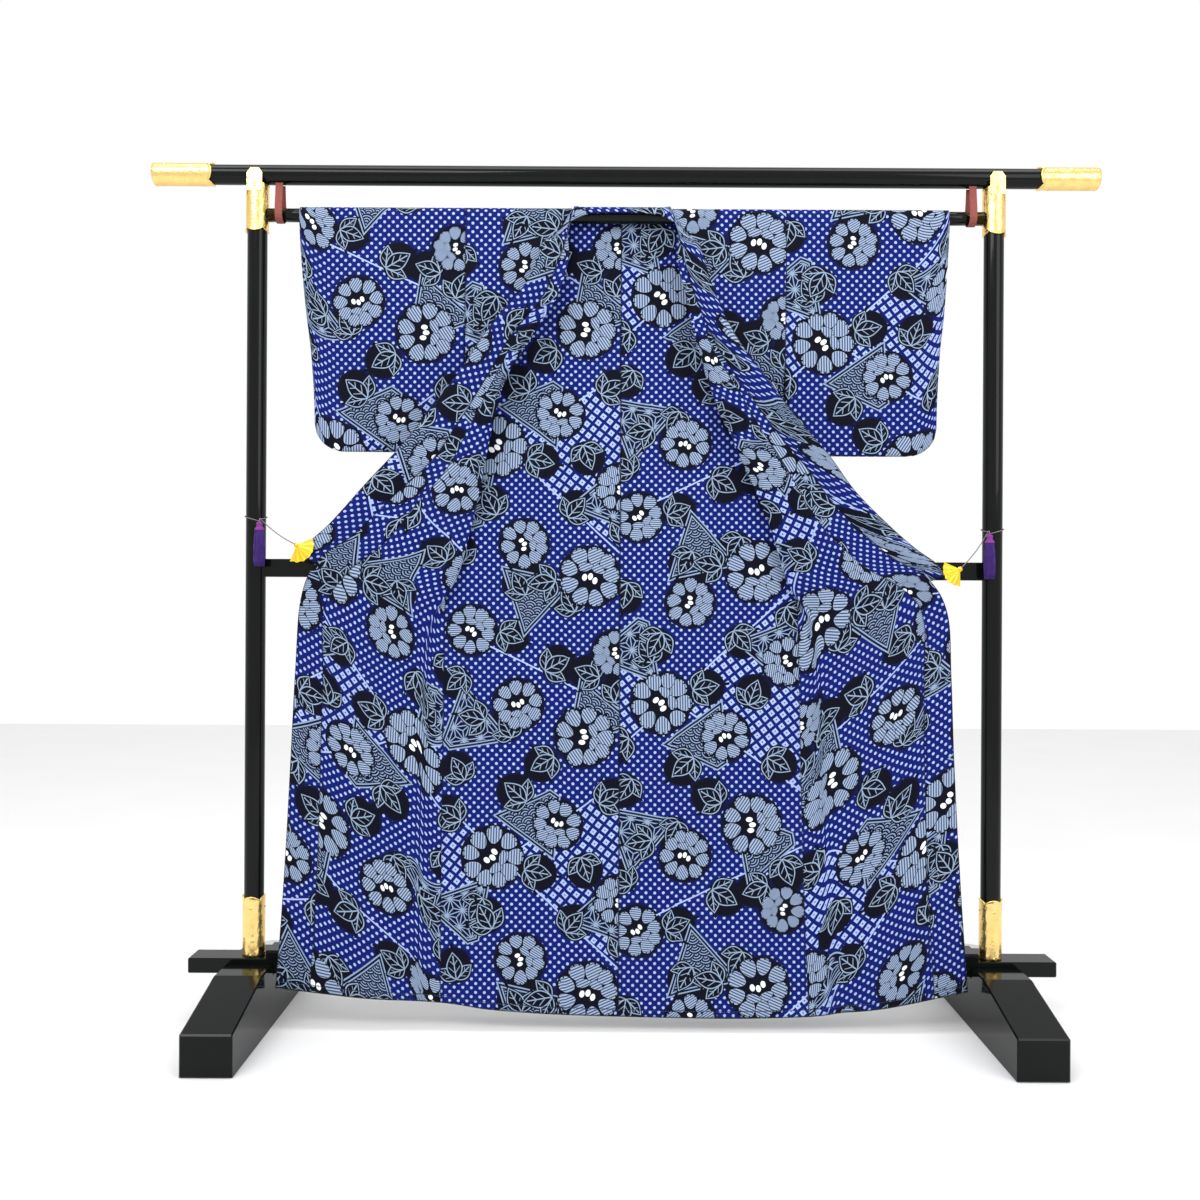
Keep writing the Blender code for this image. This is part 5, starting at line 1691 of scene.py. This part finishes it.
def cord(word, path):
    name = "cord_" + word + "_twist"
    curve = bpy.data.curves.new(name, "CURVE")
    curve.dimensions = "3D"
    curve.bevel_depth = CORD_THICK / 2 * MM
    curve.bevel_resolution = 3
    curve.use_fill_caps = True
    run = curve.splines.new("POLY")
    run.points.add(len(path) - 1)
    for point, p in zip(run.points, path):
        point.co = (p.x * MM, p.y * MM, p.z * MM, 1.0)
    curve.materials.append(cord_purple)
    obj = bpy.data.objects.new(name, curve)
    bpy.context.scene.collection.objects.link(obj)
    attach(obj, "root")
    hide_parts("cord_" + word)
    length = sum((b - a).length for a, b in zip(path, path[1:])) * MM


for side, word in ((-1, "left"), (1, "right")):
    strap(side, word)
for side, word in ((-1, "left"), (1, "right")):
    spec = CLIPS[side]
    tassel_x = side * (POST_X - 17.0)
    tassel_y = -(POST_R + 12.5)
    head = spec["knot_z"] - 3.0
    fan_clip(word, spec)
    tassel(word, tassel_x, tassel_y, head)
    cord(word, cord_path(side, spec, tassel_x, tassel_y, head))

for side, word in ((-1, "left"), (1, "right")):
    body_and_overlap(side, word)
    sleeve(side, word)
collar()

# pale floor, soft light from above and the front
FLOOR_HALF = 5.0
FLOOR_LOW = -0.0005
corners = [(x * FLOOR_HALF, y * FLOOR_HALF, FLOOR_LOW) for x, y in ((-1, -1), (1, -1), (1, 1), (-1, 1))]
floor_data = bpy.data.meshes.new("studio_floor")
floor_data.from_pydata(corners, [], [(0, 1, 2, 3)])
stage_material, stage_tree, stage_shader = paint_kit("studio_paper")
stage_tone = colour_mix(stage_tree, noise(stage_tree, 3.0, 2.0), (0.80, 0.80, 0.80), (0.84, 0.84, 0.84))
stage_tree.links.new(stage_tone.end, stage_shader.inputs["Base Color"])
stage_shader.inputs["Roughness"].default_value = 0.85
floor_data.materials.append(stage_material)
floor = bpy.data.objects.new("studio_floor", floor_data)
bpy.context.scene.collection.objects.link(floor)

LIGHTS = table(
    ("name", "at", "aim", "wide", "high", "power"),
    ('key_panel', (-1.5, -2.6, 3.2), (0.0, 0.0, 0.9), 2.2, 1.2, 62),
    ('fill_panel', (2.2, -2.4, 2.2), (0.0, 0.0, 0.8), 1.8, 1.8, 34),
    ('top_panel', (0.0, -0.4, 3.6), (0.0, 0.0, 0.6), 3.2, 1.0, 40),
)
for row in LIGHTS:
    lamp = bpy.data.lights.new(row["name"], "AREA")
    lamp.shape = "RECTANGLE"
    lamp.size = row["wide"]
    lamp.size_y = row["high"]
    lamp.energy = row["power"]
    holder = bpy.data.objects.new(row["name"], lamp)
    holder.location = row["at"]
    aim = Vector(row["aim"]) - Vector(row["at"])
    holder.rotation_euler = aim.to_track_quat("-Z", "Y").to_euler()
    bpy.context.scene.collection.objects.link(holder)
bpy.context.scene.view_settings.view_transform = "Standard"
world = bpy.data.worlds.new("studio_air")
bpy.context.scene.world = world
world.use_nodes = True
air = world.node_tree.nodes["Background"]
air.inputs["Color"].default_value = (1.0, 1.0, 1.0, 1.0)
air.inputs["Strength"].default_value = 1.0

camera_data = bpy.data.cameras.new("photo_view")
camera_data.lens = 32.0
camera_data.sensor_width = 36.0
camera = bpy.data.objects.new("photo_view", camera_data)
camera.location = (-0.048, -2.150, 0.850)
camera.rotation_euler = (math.radians(90), math.radians(-0.3), 0)
bpy.context.scene.collection.objects.link(camera)
bpy.context.scene.camera = camera
